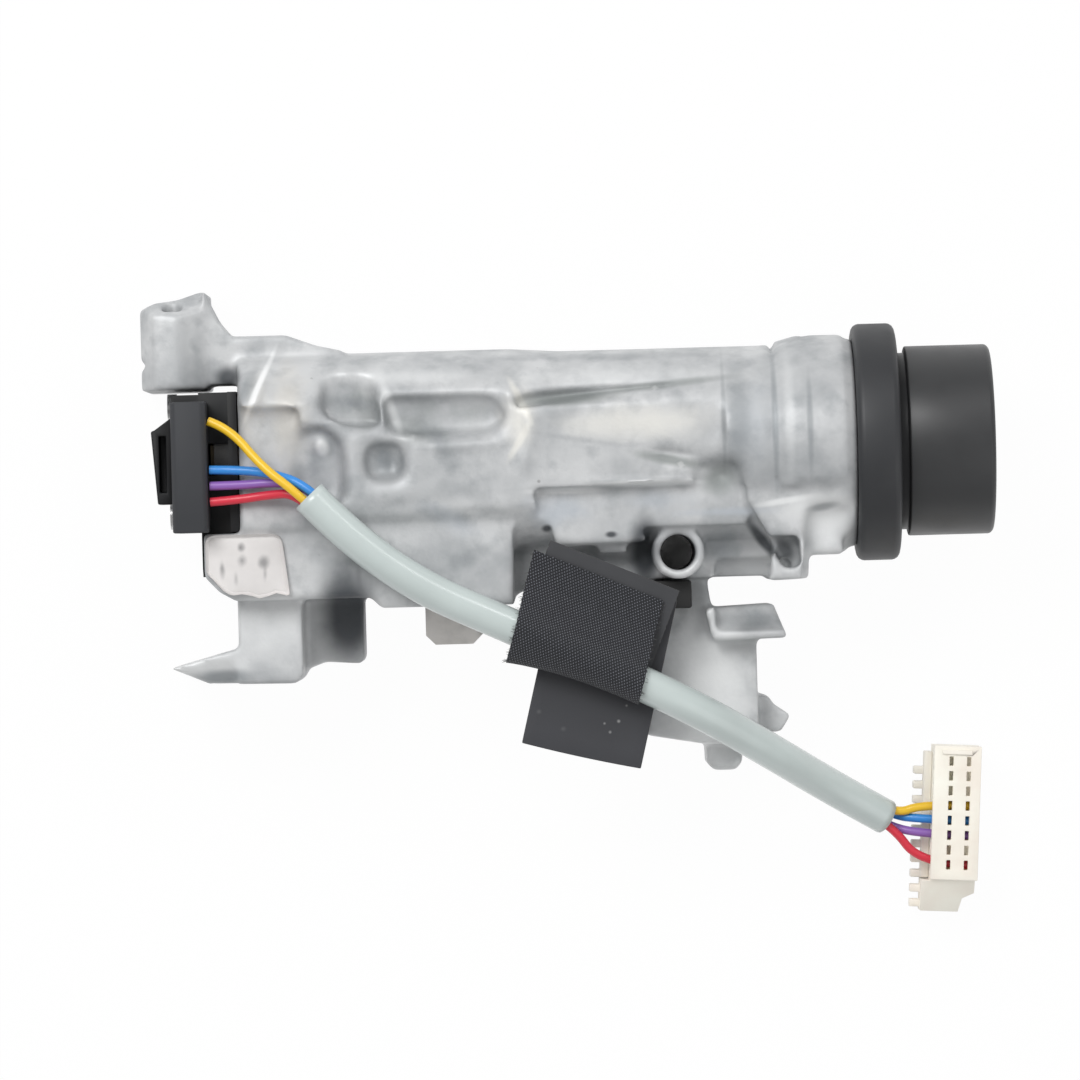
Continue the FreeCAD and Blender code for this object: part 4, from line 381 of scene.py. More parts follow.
# Soft ellipses painted into the casting's colour. Some are tints of the cast surface; most are painted shade
# and painted highlights where its shape catches or loses the light.
castStains = [
    # x and y of the middle, half width, half height, turn, amount, raggedness, colour
    # Trunk: painted shade over its middle and lower part, darker blotches, lighter beige patches, and a
    # painted highlight along its top.
    (-24.0, -5.0, 13.0, 7.5, 0, 0.30, 0.8, slate),      # trunk
    (-27.0, -19.0, 9.0, 4.0, 0, 0.26, 0.9, slate),
    (-28.5, 8.0, 5.5, 4.4, 0, 0.55, 1.5, moss),
    (-20.0, 4.6, 5.0, 5.0, 0, 0.55, 1.5, moss),
    (-11.5, 6.6, 4.6, 2.6, 0, 0.35, 1.5, moss),
    (-37.5, -3.0, 3.2, 4.2, 0, 0.45, 1.5, slate),
    (-25.5, -1.5, 4.4, 2.8, 0, 0.40, 1.5, slate),
    (-13.5, -6.5, 6.0, 2.4, 0, 0.35, 1.5, slate),
    (-31.0, -17.8, 3.0, 2.2, 0, 0.55, 1.5, slate),
    (-15.0, -17.0, 6.0, 3.0, 0, 0.30, 1.5, slate),
    (-41.5, 6.5, 3.0, 9.0, 0, 0.65, 0.9, beige),
    (-46.5, 10.0, 2.0, 5.0, 0, 0.35, 1.2, beige),
    (-22.0, 13.0, 12.0, 1.4, 0, 0.40, 1.0, paleHighlight),
    # Foot: painted shade in its recess, painted highlight on its front face and toe, and painted shadow
    # under the toe.
    (-33.0, -27.0, 3.6, 6.0, 0, 0.92, 0.0, nearBlack),         # foot
    (-46.0, -28.0, 7.0, 7.0, 0, 0.50, 0.5, paleHighlight),
    (-57.0, -35.0, 5.5, 2.6, 0, 0.50, 0.4, paleHighlight),
    (-54.0, -36.8, 4.0, 1.1, 0, 0.75, 0.3, slate),
    # Barrel: lighter cream along the curved rib and over the raised plateau, and a painted highlight along
    # the top. The collar has painted shade over it and in its grooves, with a painted highlight on one
    # ridge.
    (-3.0, 5.0, 3.2, 6.0, 0, 0.70, 1.3, cream),          # barrel
    (17.0, 4.2, 12.0, 2.8, 0, 0.62, 0.9, cream),
    (15.0, 12.0, 18.0, 2.0, 0, 0.45, 1.2, paleHighlight),
    (36.5, 4.0, 5.0, 9.0, 0, 0.34, 1.3, blueGrey),
    (33.8, 5.0, 2.0, 9.0, 0, 0.44, 0.6, slate),
    (38.5, 1.0, 7.5, 11.0, 0, 0.24, 0.5, slate),
    (31.4, 5.0, 0.35, 8.0, 0, 0.35, 0.4, slate),
    (40.0, 4.0, 0.45, 9.5, 0, 0.55, 0.4, slate),
    (42.4, 5.0, 0.8, 9.0, 0, 0.22, 0.6, paleHighlight),
    (45.8, 3.0, 0.45, 6.5, 0, 0.50, 0.4, slate),
    # Ledge and box: painted shade on the plate below the ledge and darker patches lower down, and painted
    # highlights on the ledge's two lips. Also two small near-black dots, painted shadow in the gap beside
    # the guide tube, and pale painted light on the box.
    (31.0, -11.2, 11.0, 0.9, 0, 0.55, 1.5, blueGrey),       # ledge and box
    (3.0, -10.5, 7.0, 3.2, 0, 0.65, 1.3, blueGrey),
    (19.0, -9.0, 9.0, 1.8, 0, 0.40, 1.3, blueGrey),
    (4.5, -6.9, 5.5, 0.5, 0, 0.70, 0.5, paleHighlight),
    (18.0, -6.1, 8.0, 0.5, 0, 0.70, 0.5, paleHighlight),
    (1.2, -13.2, 0.7, 0.5, 0, 0.90, 0.3, nearBlack),
    (12.0, -14.5, 0.8, 0.45, 0, 0.90, 0.3, nearBlack),
    (9.0, -19.0, 8.0, 3.0, 0, 0.35, 0.8, slate),
    (17.6, -17.6, 2.0, 4.6, 0, 0.95, 0.2, nearBlack),
    (31.0, -17.2, 3.8, 2.2, 0, 0.45, 0.4, slate),
    (49.0, -12.6, 4.0, 4.2, 0, 0.70, 0.5, paleHighlight),
    (46.0, -11.5, 5.5, 3.5, 0, 0.55, 0.8, paleHighlight),
    (47.6, -18.5, 2.4, 3.4, 0, 0.45, 0.6, paleHighlight),
    # Ear and bracket: painted shade in the saddle's hollow and pale painted light on the bracket.
    (34.6, -29.8, 5.0, 1.5, 0, 0.50, 0.5, slate),        # ear and bracket
    (28.0, -42.0, 6.0, 13.0, 0, 0.85, 0.6, paleHighlight),
    # Boss: painted shade on its facets.
    (-60.0, 17.0, 3.2, 7.0, 0, 0.28, 0.8, slate),        # boss
    (-57.0, 17.0, 1.2, 8.0, 0, 0.30, 1.2, slate),
    # Slanted rib beside the switch: a painted highlight on it and painted shade on its flank, and painted
    # shadow above the switch.
    (-46.7, 11.9, 5.0, 0.45, -113, 0.95, 0.2, paleHighlight),
    (-48.6, 11.8, 4.3, 1.00, -113, 0.45, 0.6, slate),
    (-52.1, 13.8, 1.7, 1.90, -86, 0.85, 0.5, nearBlack),
    # Turned strokes along the trunk's ribs and facets: painted highlights on their lit sides and painted
    # shade on the others, with a painted highlight on the round boss.
    (-30.9, 8.7, 4.8, 1.60, -8, 0.55, 1.0, slate),
    (-24.5, 8.2, 4.8, 0.80, -72, 0.45, 0.8, paleHighlight),
    (-25.8, -0.5, 2.8, 1.60, -71, 0.60, 0.8, slate),
    (-36.2, 1.6, 1.2, 0.90, -80, 0.75, 0.4, paleHighlight),
    (-40.3, -3.9, 4.0, 1.30, -86, 0.50, 0.8, slate),
    (-16.0, 1.0, 6.2, 2.00, -52, 0.35, 1.2, slate),
    (-14.4, -11.4, 7.6, 2.20, -29, 0.35, 1.2, blueGrey),
    (-12.6, -18.1, 5.7, 1.80, 32, 0.40, 1.2, slate),
    (-30.8, -17.6, 2.5, 1.20, -20, 0.55, 1.0, moss),
    # Lighter cream along the curved rib.
    (-2.6, 8.2, 3.7, 0.60, -64, 0.75, 0.5, cream),
    (-2.8, 1.9, 3.5, 0.60, -121, 0.65, 0.5, cream),
    # Painted shadow in the wedge groove and in the notch that it leads into.
    (5.0, 8.6, 7.2, 1.10, 2, 0.75, 0.5, moss),
    (20.5, 10.4, 10.9, 0.60, 5, 0.60, 0.6, moss),
    (21.9, -2.1, 5.7, 0.90, -12, 0.75, 0.6, moss),
    (30.5, -5.6, 2.3, 2.60, -70, 0.75, 0.4, moss),
    # A faint darker streak, and painted shade on the box's slanted wall with a painted highlight along its
    # top edge and a darker mark beyond it. Last, a darker line near the barrel's top.
    (7.6, 1.5, 8.8, 0.60, -10, 0.22, 1.2, slate),
    (37.6, -16.2, 3.4, 0.70, -52, 0.90, 0.2, nearBlack),
    (41.2, -17.8, 2.1, 1.10, -47, 0.75, 0.4, nearBlack),
    (41.7, -9.6, 4.0, 0.50, 8, 0.60, 0.4, paleHighlight),
    (47.7, -10.8, 2.2, 0.60, 10, 0.50, 0.6, slate),
    (11.1, 15.6, 20.4, 0.80, 0, 0.30, 1.0, slate),
]


def makeCastAlloy():
    look = castAlloy
    material, tree, shader = newMaterial("castAlloy", look["roughness"], look["metallic"])
    cloud = placeGroup(tree, "cloud", Light=look["light"], Dark=look["dark"], Scale=look["patches"],
                       Low=0.42, High=0.72)
    bloom = placeGroup(tree, "cloud", Light=(cloud, "Color"), Dark=look["bloom"], Scale=look["blooms"],
                       Low=0.50, High=0.86)
    # The table's tints, painted shade and painted highlights go on first. Then come the edges painted
    # lighter and the hollows darker, and last the painted shade in pockets.
    edge = placeGroup(tree, "edge", Color=addStains(tree, (bloom, "Color"), castStains),
                      Edge=look["edge"], Hollow=look["hollow"], Amount=look["wearAndShading"])
    shade = placeGroup(tree, "shade", Color=(edge, "Color"), Shade=look["shade"],
                       Reach=look["shadeReach"], Amount=look["shadeAmount"])
    specks = addNode(tree, "TexVoronoi")
    specks.inputs["Scale"].default_value = look["specks"]
    join(tree, addNode(tree, "TexCoord"), "Object", specks, "Vector")
    near = mapRange(tree, (specks, "Distance"), 0.10, 0.04)
    thin = placeGroup(tree, "cloud", Scale=look["speckPatches"], Low=0.60, High=0.68)
    some = calculate(tree, "MULTIPLY", near, (thin, "Mask"))
    feed(tree, mixColours(tree, some, (shade, "Color"), look["speck"]), shader, "Base Color")
    varyGloss(tree, shader, cloud, look["roughness"] - look["smoother"], look["roughness"] + look["rougher"])
    addGrain(tree, shader, look["grain"], look["grainStrength"], look["grainDepth"], look["coarse"])
    return material


# hollow scales a finish's colour into the painted shade of its hollows
plasticLook = {"metallic": 0.0, "patch": 1.18, "patches": 120.0, "low": 0.35, "high": 0.75,
               "hollow": 0.6, "smoother": 0.05, "rougher": 0.08, "grainDepth": 0.04 * mm}
metalLook = {"metallic": 1.0, "patch": 0.72, "patches": 300.0, "low": 0.4, "high": 0.8,
             "hollow": 0.72, "smoother": 0.06, "rougher": 0.10, "grainDepth": 0.02 * mm}


def makeWornAndShaded(name, look, colour, edge, roughness, grain, strength):
    # A finish with soft patches, edges painted lighter as wear and painted highlight, hollows painted darker
    # as painted shade, and an uneven gloss.
    material, tree, shader = newMaterial(name, roughness, look["metallic"])
    cloud = placeGroup(tree, "cloud", Light=colour, Dark=scaled(colour, look["patch"]),
                       Scale=look["patches"], Low=look["low"], High=look["high"])
    # Edges painted lighter as wear and painted highlight, hollows darker as painted shade.
    wearAndShading = placeGroup(tree, "edge", Color=(cloud, "Color"), Edge=edge,
                      Hollow=scaled(colour, look["hollow"]), Amount=0.6)
    join(tree, wearAndShading, "Color", shader, "Base Color")
    varyGloss(tree, shader, cloud, roughness - look["smoother"], roughness + look["rougher"])
    addGrain(tree, shader, grain, strength, look["grainDepth"])
    return material


def makePlastic(name, colour, edge, roughness, grain=4200.0, strength=0.12, shine=0.5):
    material = makeWornAndShaded(name, plasticLook, colour, edge, roughness, grain, strength)
    material.node_tree.nodes["Principled BSDF"].inputs["Specular IOR Level"].default_value = shine
    return material


def makeMetal(name, colour, roughness):
    # Its edges are painted 1.3 times lighter, as wear and painted highlight.
    return makeWornAndShaded(name, metalLook, colour, scaled(colour, 1.3), roughness, 3000.0, 0.2)


def makeVinyl(name, colour, roughness, coat):
    # Extruded cord covering: nearly plain, with a slow change of tone along it.
    material, tree, shader = newMaterial(name, roughness, 0.0, coat)
    shader.inputs["Coat Roughness"].default_value = 0.18
    cloud = placeGroup(tree, "cloud", Light=colour, Dark=scaled(colour, 0.90), Scale=60.0,
                       Low=0.35, High=0.7)
    join(tree, cloud, "Color", shader, "Base Color")
    addGrain(tree, shader, 1500.0, 0.06, 0.03 * mm)
    return material


plastics = {
    # colour, colour of the edges' wear and painted highlight, roughness, and what differs from the others
    "ringPlastic": (grey(0.026, (0.95, 1.0, 1.12)), grey(0.06), 0.50, {}),
    "sleevePlastic": (grey(0.030, (0.97, 1.0, 1.06)), grey(0.07), 0.42, {}),
    "switchPlastic": (grey(0.009, (0.92, 1.0, 1.15)), grey(0.03), 0.48, {"shine": 0.22}),
    "plugPlastic": (grey(0.040, (0.94, 1.0, 1.14)), grey(0.06), 0.55, {"shine": 0.3}),
    "creamPlastic": ((0.93, 0.86, 0.76, 1), (0.97, 0.92, 0.84, 1), 0.5, {}),
    "combPlastic": ((0.78, 0.74, 0.66, 1), (0.90, 0.87, 0.80, 1), 0.5, {}),
    "innerPlastic": (grey(0.020), grey(0.05), 0.5, {}),
    "rubber": (grey(0.015), grey(0.03), 0.7, {"strength": 0.3}),
    "foam": (grey(0.040, (0.97, 1.0, 1.14)), grey(0.06), 0.62, {"grain": 2600.0, "strength": 0.2}),
    "stickySide": (grey(0.046, (0.97, 1.0, 1.10)), grey(0.06), 0.5, {"grain": 2600.0}),
    "thread": (grey(0.05), grey(0.10), 0.8, {}),
    "sticker": ((0.665, 0.645, 0.635, 1), (0.72, 0.70, 0.69, 1), 0.55, {"strength": 0.05}),
}
metals = {
    "lockAlloy": (grey(0.56), 0.34),
    "boltSteel": ((0.70, 0.68, 0.655, 1), 0.48),
    "steel": (grey(0.50), 0.30),
    # brass painted dark as painted shade, for the contacts inside the switch
    "shadedBrass": ((0.085, 0.07, 0.05, 1), 0.5),
    "brass": ((0.72, 0.55, 0.26, 1), 0.28),
}
vinyls = {
    # colour, roughness and coat
    "sheathVinyl": ((0.59, 0.66, 0.645, 1), 0.30, 0.55),
    "yellowVinyl": ((0.90, 0.56, 0.02, 1), 0.40, 0.25),
    "blueVinyl": ((0.03, 0.26, 0.72, 1), 0.40, 0.25),
    "purpleVinyl": ((0.29, 0.13, 0.48, 1), 0.40, 0.25),
    "redVinyl": ((0.72, 0.03, 0.06, 1), 0.40, 0.25),
}
finishes = {"castAlloy": makeCastAlloy()}
for name, (colour, edge, roughness, extra) in plastics.items():
    finishes[name] = makePlastic(name, colour, edge, roughness, **extra)
for name, (colour, roughness) in metals.items():
    finishes[name] = makeMetal(name, colour, roughness)
for name, (colour, roughness, coat) in vinyls.items():
    finishes[name] = makeVinyl(name, colour, roughness, coat)
print("finishes ready:", len(finishes))


# Camera, floor and light

studio = {
    "roll": -1.6,            # degrees that the camera is turned
    "aim": spot(0.0, -15.1, 0.0),
    "distance": 1.2,
    "widthSeen": 0.1836,     # across the picture at the barrel's axis
    "floorShare": 0.97,      # how much of the floor's white the camera sees as light
    "bore": spot(23.3, -17.7, 0.0),
    "boreRadius": 4.5 * mm,
    "boreFade": 1.5 * mm,
    "boreReach": 20 * mm,
    "worldStrength": 0.46,
    "lights": [
        # name, place in metres, size in metres and watts
        ("keyLight", (-0.35, 0.45, 0.75), 0.45, 5.0),
        ("fillLight", (0.6, -0.35, 0.6), 0.7, 1.2),
        ("glossLight", (0.36, 0.58, 0.60), 0.22, 0.9),
    ],
}


def makeCamera():
    data = bpy.data.cameras.new("camera")
    data.sensor_width = 36.0
    data.lens = data.sensor_width * studio["distance"] / studio["widthSeen"]
    camera = bpy.data.objects.new("camera", data)
    camera.location = studio["aim"] + Vector((0, 0, studio["distance"]))
    camera.rotation_euler = (0, 0, math.radians(studio["roll"]))
    bpy.context.scene.collection.objects.link(camera)
    bpy.context.scene.camera = camera


def mixShaders(tree, factor, first, second, target):
    mix = addNode(tree, "MixShader")
    for socket, source in enumerate((factor, first, second)):
        feed(tree, source, mix, socket)
    join(tree, mix, 0, tree.nodes[target], "Surface")


def makeFloor():
    bpy.ops.object.select_all(action="DESELECT")
    bpy.ops.mesh.primitive_plane_add(size=6.0, location=(0, 0, -0.0002))
    floor = bpy.context.object
    floor.name = "studioFloor"
    material, tree, shader = newMaterial("floorWhite", 0.9)
    shader.inputs["Base Color"].default_value = (0.93, 0.93, 0.93, 1)
    # Below the guide tube's bore the floor's glow is darkened by occlusion: a painted shade seen through the
    # bore.
    hollow = addNode(tree, "AmbientOcclusion", samples=12)
    hollow.inputs["Distance"].default_value = studio["boreReach"]
    deep = mapRange(tree, (hollow, "AO"), 0.10, 0.30, toLow=0.01)
    away = addNode(tree, "VectorMath", operation="DISTANCE")
    away.inputs[1].default_value = (studio["bore"].x, studio["bore"].y, 0)
    join(tree, addNode(tree, "TexCoord"), "Object", away, 0)
    near = mapRange(tree, (away, "Value"), studio["boreRadius"] + studio["boreFade"], studio["boreRadius"])
    level = addNode(tree, "Mix", data_type="FLOAT")
    for socket, source in (("Factor", near), ("A", 1.0), ("B", deep)):
        feed(tree, source, level, socket)
    # White where the camera, a gloss or a glass looks at it; the rest keeps the object's shadow.
    glow = addNode(tree, "Emission")
    join(tree, level, "Result", glow, "Strength")
    paths = addNode(tree, "LightPath")
    seen = calculate(tree, "MAXIMUM", (paths, "Is Camera Ray"), (paths, "Is Glossy Ray"))
    seen = calculate(tree, "MAXIMUM", seen, (paths, "Is Transmission Ray"))
    share = calculate(tree, "MULTIPLY", seen, studio["floorShare"])
    mixShaders(tree, share, (shader, 0), (glow, 0), "Material Output")
    floor.data.materials.append(material)


def makeLights():
    world = bpy.data.worlds.new("studioWorld")
    bpy.context.scene.world = world
    world.use_nodes = True
    tree = world.node_tree
    backdrop = tree.nodes["Background"]
    backdrop.inputs["Color"].default_value = (1, 1, 1, 1)
    backdrop.inputs["Strength"].default_value = studio["worldStrength"]
    seen = addNode(tree, "Background")
    seen.inputs["Strength"].default_value = 1.0
    paths = addNode(tree, "LightPath")
    mixShaders(tree, (paths, "Is Camera Ray"), (backdrop, 0), (seen, 0), "World Output")
    for name, place, size, watts in studio["lights"]:
        data = bpy.data.lights.new(name, "AREA")
        data.size = size
        data.energy = watts
        light = bpy.data.objects.new(name, data)
        light.location = place
        light.rotation_euler = (-Vector(place)).to_track_quat("-Z", "Y").to_euler()
        bpy.context.scene.collection.objects.link(light)


makeCamera()
makeFloor()
makeLights()
bpy.context.scene.view_settings.view_transform = "Standard"
print("camera, floor and light set")


# Cable: the sheath and its four wires, by the same points as in the part's source

cable = {
    "sheathRadius": 3.0 * mm,
    "sheathWall": 0.65 * mm,
    "wireRadius": 0.75 * mm,
    "wireOffset": 1.4,
    "strandTurn": -106.0,
    "stepBefore": -1.8,      # the wires' bundle starts before the sheath
    "stepAfter": 1.2,
    "rowPitch": 2.54,
    "rows": 8,
    "wireLead": 1.8,
    "wireInset": 7.0,        # the wires run on below both columns of windows
    "plugFaceX": -4.5,
    "channelHeight": 8.6,
    "plugTurn": -3.5,
}

sheathRoute = [
    Vector((-38.5, -6.7, 18.6)),
    Vector((-31.8, -13.9, 18.6)),
    Vector((-20.0, -22.6, 17.7)),
    Vector((-7.0, -28.6, 15.7)),
    Vector((22.5, -42.4, 14.6)),
    Vector((37.0, -51.2, 5.2)),
    Vector((49.5, -59.3, -8.2)),
    Vector((58.0, -64.3, -12.0)),
]
plugMiddle = Vector((70.4, -63.9, -20.1))
wireExit = (-55.2, 14.3)      # x and z of the wires' exits from the switch plug
wires = {
    "wire_yellow": (135.0, 6.4, [(-51.6, 5.1, 14.8), (-46.2, -1.6, 18.4)], 4, "yellowVinyl"),
    "wire_blue": (45.0, -1.8, [(-50.2, -1.9, 14.4), (-44.6, -2.7, 16.3)], 5, "blueVinyl"),
    "wire_purple": (315.0, -4.5, [(-50.2, -4.5, 14.3), (-44.8, -4.2, 14.9)], 6, "purpleVinyl"),
    "wire_red": (225.0, -7.2, [(-50.2, -6.9, 14.3), (-45.6, -6.3, 15.2)], 8, "redVinyl"),
}


def cordCurve(name, points, radius):
    data = bpy.data.curves.new(name, "CURVE")
    data.dimensions = "3D"
    data.bevel_depth = radius
    data.bevel_resolution = 6
    data.resolution_u = 14
    spline = data.splines.new("NURBS")
    spline.points.add(len(points) - 1)
    for target, point in zip(spline.points, points):
        target.co = (*spot(*point), 1.0)
    spline.order_u = 3
    spline.use_endpoint_u = True
    curve = bpy.data.objects.new(name, data)
    bpy.context.scene.collection.objects.link(curve)
    return curve


def plugPoint(x, y, z):
    turned = Matrix.Rotation(math.radians(cable["plugTurn"]), 3, "Z") @ Vector((x, y, z))
    return plugMiddle + turned


def rowHeight(row):
    return cable["rowPitch"] * ((cable["rows"] + 1) / 2 - row)


def strandPoints(angle):
    last = len(sheathRoute) - 1
    strand = []
    for i, point in enumerate(sheathRoute):
        along = (sheathRoute[min(i + 1, last)] - sheathRoute[max(i - 1, 0)]).normalized()
        side = Vector((0, 0, 1)).cross(along).normalized()
        up = along.cross(side)
        turned = math.radians(angle + cable["strandTurn"] * i / last)
        step = {0: cable["stepBefore"], last: cable["stepAfter"]}.get(i, 0.0)
        offset = (side * math.cos(turned) + up * math.sin(turned)) * cable["wireOffset"]
        strand.append(point + offset + along * step)
    return strand


def makeCable():
    sheath = cordCurve("cableSheath", sheathRoute, cable["sheathRadius"])
    wall = sheath.modifiers.new("wall", "SOLIDIFY")
    wall.thickness = cable["sheathWall"]
    wall.offset = -1.0
    dress(sheath, "housing", "cable_grey", finishes["sheathVinyl"], "cable_sheath")
    made = []
    for name, (angle, exitY, lead, row, finish) in wires.items():
        start = Vector((wireExit[0], exitY, wireExit[1]))
        points = [start] + [Vector(p) for p in lead] + strandPoints(angle)
        points += [plugPoint(cable["plugFaceX"] + inward, rowHeight(row), cable["channelHeight"])
                   for inward in (-cable["wireLead"], cable["wireInset"])]
        wire = cordCurve("strand_" + name[5:], points, cable["wireRadius"])
        wire.data.use_fill_caps = True
        dress(wire, "housing", name, finishes[finish], name)
        made.append((wire, spot(*start)))
    return sheath, made


sheath, strands = makeCable()
print("cable laid")


# Woven tape, folded over the cable with its two ends stuck together

weave = {
    "pitch": 0.56,       # between the knots of a row
    "row": 0.78,         # between every other row
    "slant": -15.0,      # degrees that the rows run away from the cut edges
    "base": grey(0.011, (0.90, 1.0, 1.32)),
    # the thread colour is a painted highlight on the knots' tops
    "thread": grey(0.20, (0.96, 1.0, 1.14)),
    "highlightFrom": 0.66,  # heights between which the lighter thread colour, a painted highlight on the knots' tops, takes the place of the base
    "highlightTo": 1.35,
    "fibres": 6000.0,    # per metre
    "fray": 0.5,
    "depth": 0.18 * mm,
    "sheen": 0.12,
}
tape = {
    "start": 1.75,       # behind the route's fourth point
    "length": 23.4,
    "radius": 3.42,      # middle of the tape's thickness round the sheath
    "thickness": 0.42,
    "slide": 7.0,        # degrees that the tape leans on the cable
    "shift": 2.2,        # the back end lies this much further along the cable
    "shorter": 2.6,      # the front end stops this far below the back end
    "flagLeft": 15.9,
    "flagRight": 16.7,
    "sagLeft": 2.4,      # how far the fold hangs below the cable at its left end
    "edgeWave": 0.16,    # unevenness of the two cut edges
    "ripple": 0.14,      # and of the whole sheet
    "stepsAlong": 96,
    "stepsRound": 150,
    "fibres": 80,
    "fibreRadius": 0.035 * mm,
}


def tapeSection(share):
    # Corners of the section as (across, up): from the front end over the cable to the back end.
    flag = tape["flagLeft"] + (tape["flagRight"] - tape["flagLeft"]) * share
    front = flag - tape["shorter"]
    sag = tape["sagLeft"] * (1 - share) ** 2.6
    radius = tape["radius"]
    corners = [(front, -1.30), (front * 0.85, -1.20), (front * 0.62, -0.85), (front * 0.42, 0.3),
               (radius * 0.95, 1.75)]
    for step in range(13):
        angle = math.radians(58 + 14.5 * step)
        low = max(0.0, -math.cos(angle))
        corners.append((radius * math.cos(angle) - sag * low ** 2,
                        radius * math.sin(angle) - 0.4 * sag * low))
    corners += [(radius * 0.35, -radius - 0.02), (flag * 0.45, -2.55), (flag * 0.7, -2.15),
                (flag, -1.85)]
    return [Vector((a, u)) for a, u in corners]


def alongSection(corners, share):
    lengths = [(b - a).length for a, b in zip(corners, corners[1:])]
    left = share * sum(lengths)
    for (a, b), length in zip(zip(corners, corners[1:]), lengths):
        if left <= length:
            return a + (b - a) * (left / length)
        left -= length
    return corners[-1]


def tapeDirections():
    start, end = sheathRoute[3], sheathRoute[4]
    along = (end - start).normalized()
    side = Vector((0, 0, 1)).cross(along).normalized()
    return start + along * tape["start"], along, side, along.cross(side)


def tapePoint(share, around):
    # A point of the sheet from its two shares: along the cable, and from the front end to the back.
    first, along, side, up = tapeDirections()
    point = alongSection(tapeSection(share), around)
    edge = 0.0
    if share in (0, 1):
        edge = tape["edgeWave"] * noise.noise(Vector((around * 90.0, 7.0 * share, 3.0)))
    ripple = tape["ripple"] * noise.noise(Vector((share * 3.0, around * 6.0, 0.0)))
    lean = math.tan(math.radians(tape["slide"])) * (6.0 - point.x) * 0.9
    here = first + along * (tape["length"] * share + lean + tape["shift"] * (around - 0.25) + edge)
    return here + side * point.x + up * (point.y + ripple)


def makeTape():
    columns, rows = tape["stepsAlong"], tape["stepsRound"]
    vertices = [spot(*tapePoint(i / columns, j / rows))
                for i in range(columns + 1) for j in range(rows + 1)]
    faces = []
    for i in range(columns):
        for j in range(rows):
            a = i * (rows + 1) + j
            faces.append((a, a + 1, a + rows + 2, a + rows + 1))
    mesh = bpy.data.meshes.new("wovenTape")
    mesh.from_pydata(vertices, [], faces)
    layer = mesh.uv_layers.new(name="weave")
    wide = tape["length"] / columns
    corners = tapeSection(0.5)
    tall = sum((b - a).length for a, b in zip(corners, corners[1:])) / rows
    slant = Matrix.Rotation(math.radians(weave["slant"]), 2)
    for loop in mesh.loops:
        i, j = divmod(loop.vertex_index, rows + 1)
        layer.data[loop.index].uv = slant @ Vector((i * wide, j * tall))
    mesh.materials.append(makeWeave())
    mesh.materials.append(finishes["stickySide"])
    piece = linkPiece("wovenTape", mesh)
    applyModifier(piece, "SOLIDIFY", thickness=tape["thickness"] * mm, offset=0.0,
                  material_offset=1, material_offset_rim=0)
    smoothByAngle(piece, 50)
    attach(piece, "housing")
    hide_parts("cloth_tape")
    return piece


def makeFibres():
    # Loose threads along the two cut edges of the front layer.
    dice = random.Random(5)
    bpy.ops.object.select_all(action="DESELECT")
    threads = []
    for count in range(tape["fibres"]):
        share = count % 2
        root = spot(*tapePoint(share, dice.uniform(0.01, 0.52)))
        reach = dice.uniform(0.3, 0.9) * mm
        lean = Vector((2 * share - 1, dice.uniform(-0.8, 0.8), dice.uniform(-0.1, 0.5))).normalized()
        bpy.ops.mesh.primitive_cone_add(vertices=4, radius1=tape["fibreRadius"], radius2=0.02 * mm,
                                        depth=reach)
        thread = bpy.context.object
        turn = lean.to_track_quat("Z", "Y").to_matrix().to_4x4()
        thread.data.transform(Matrix.Translation(root + lean * reach * 0.35) @ turn)
        threads.append(thread)
    for thread in threads:
        thread.select_set(True)
    bpy.context.view_layer.objects.active = threads[0]
    bpy.ops.object.join()
    threads[0].name = "tapeFibres"
    return dress(threads[0], "housing", "woven_tape", finishes["thread"])


def makeWeave():
    # Coarse plain weave on the tape's own map, whose unit is a millimetre.
    material, tree, shader = newMaterial("wovenTape", 0.78)
    split = addNode(tree, "SeparateXYZ")
    join(tree, addNode(tree, "UVMap", uv_map="weave"), "UV", split, 0)
    waves = []
    for axis, pitch in ((0, weave["pitch"]), (1, weave["row"])):
        phase = calculate(tree, "MULTIPLY", (split, axis), 2 * math.pi / pitch)
        waves.append(calculate(tree, "COSINE", phase))
    knots = calculate(tree, "MAXIMUM", calculate(tree, "MULTIPLY", *waves), 0.0)
    fibre = placeGroup(tree, "grain", Scale=weave["fibres"], Coarse=0.5)
    fray = calculate(tree, "MULTIPLY", (fibre, "Height"), weave["fray"])
    height = calculate(tree, "ADD", knots, fray)
    # The knots' tops take the lighter thread colour as a painted highlight.
    knotHighlight = mapRange(tree, height, weave["highlightFrom"], weave["highlightTo"])
    feed(tree, mixColours(tree, knotHighlight, weave["base"], weave["thread"]), shader, "Base Color")
    addBump(tree, shader, height, 0.9, weave["depth"])
    shader.inputs["Sheen Weight"].default_value = weave["sheen"]
    shader.inputs["Sheen Roughness"].default_value = 0.5
    return material


tapePiece = makeTape()
fibresPiece = makeFibres()
print("tape folded")


# Foam pad behind the tape

pad = {
    "width": 20.5,
    "height": 29.0,
    "thickness": 2.0,
    "turn": -13.8,
    "corner": (-4.0, -49.2),
    "top": 10.7,
    "bow": 0.21,             # how far the ends bulge
    "sag": 0.10,             # how far the middle sinks
    "rim": 0.35 * mm,
    # pale crumbs near its right side: x, y, radius and how strong
    "crumbs": [(13.8, -43.4, 0.30, 0.7), (12.4, -46.0, 0.34, 0.8), (10.0, -46.3, 0.30, 0.8),
               (10.9, -47.8, 0.30, 0.6), (-1.0, -44.0, 0.5, 0.12), (3.0, -47.0, 0.6, 0.12)],
    "crumb": grey(0.36),
}


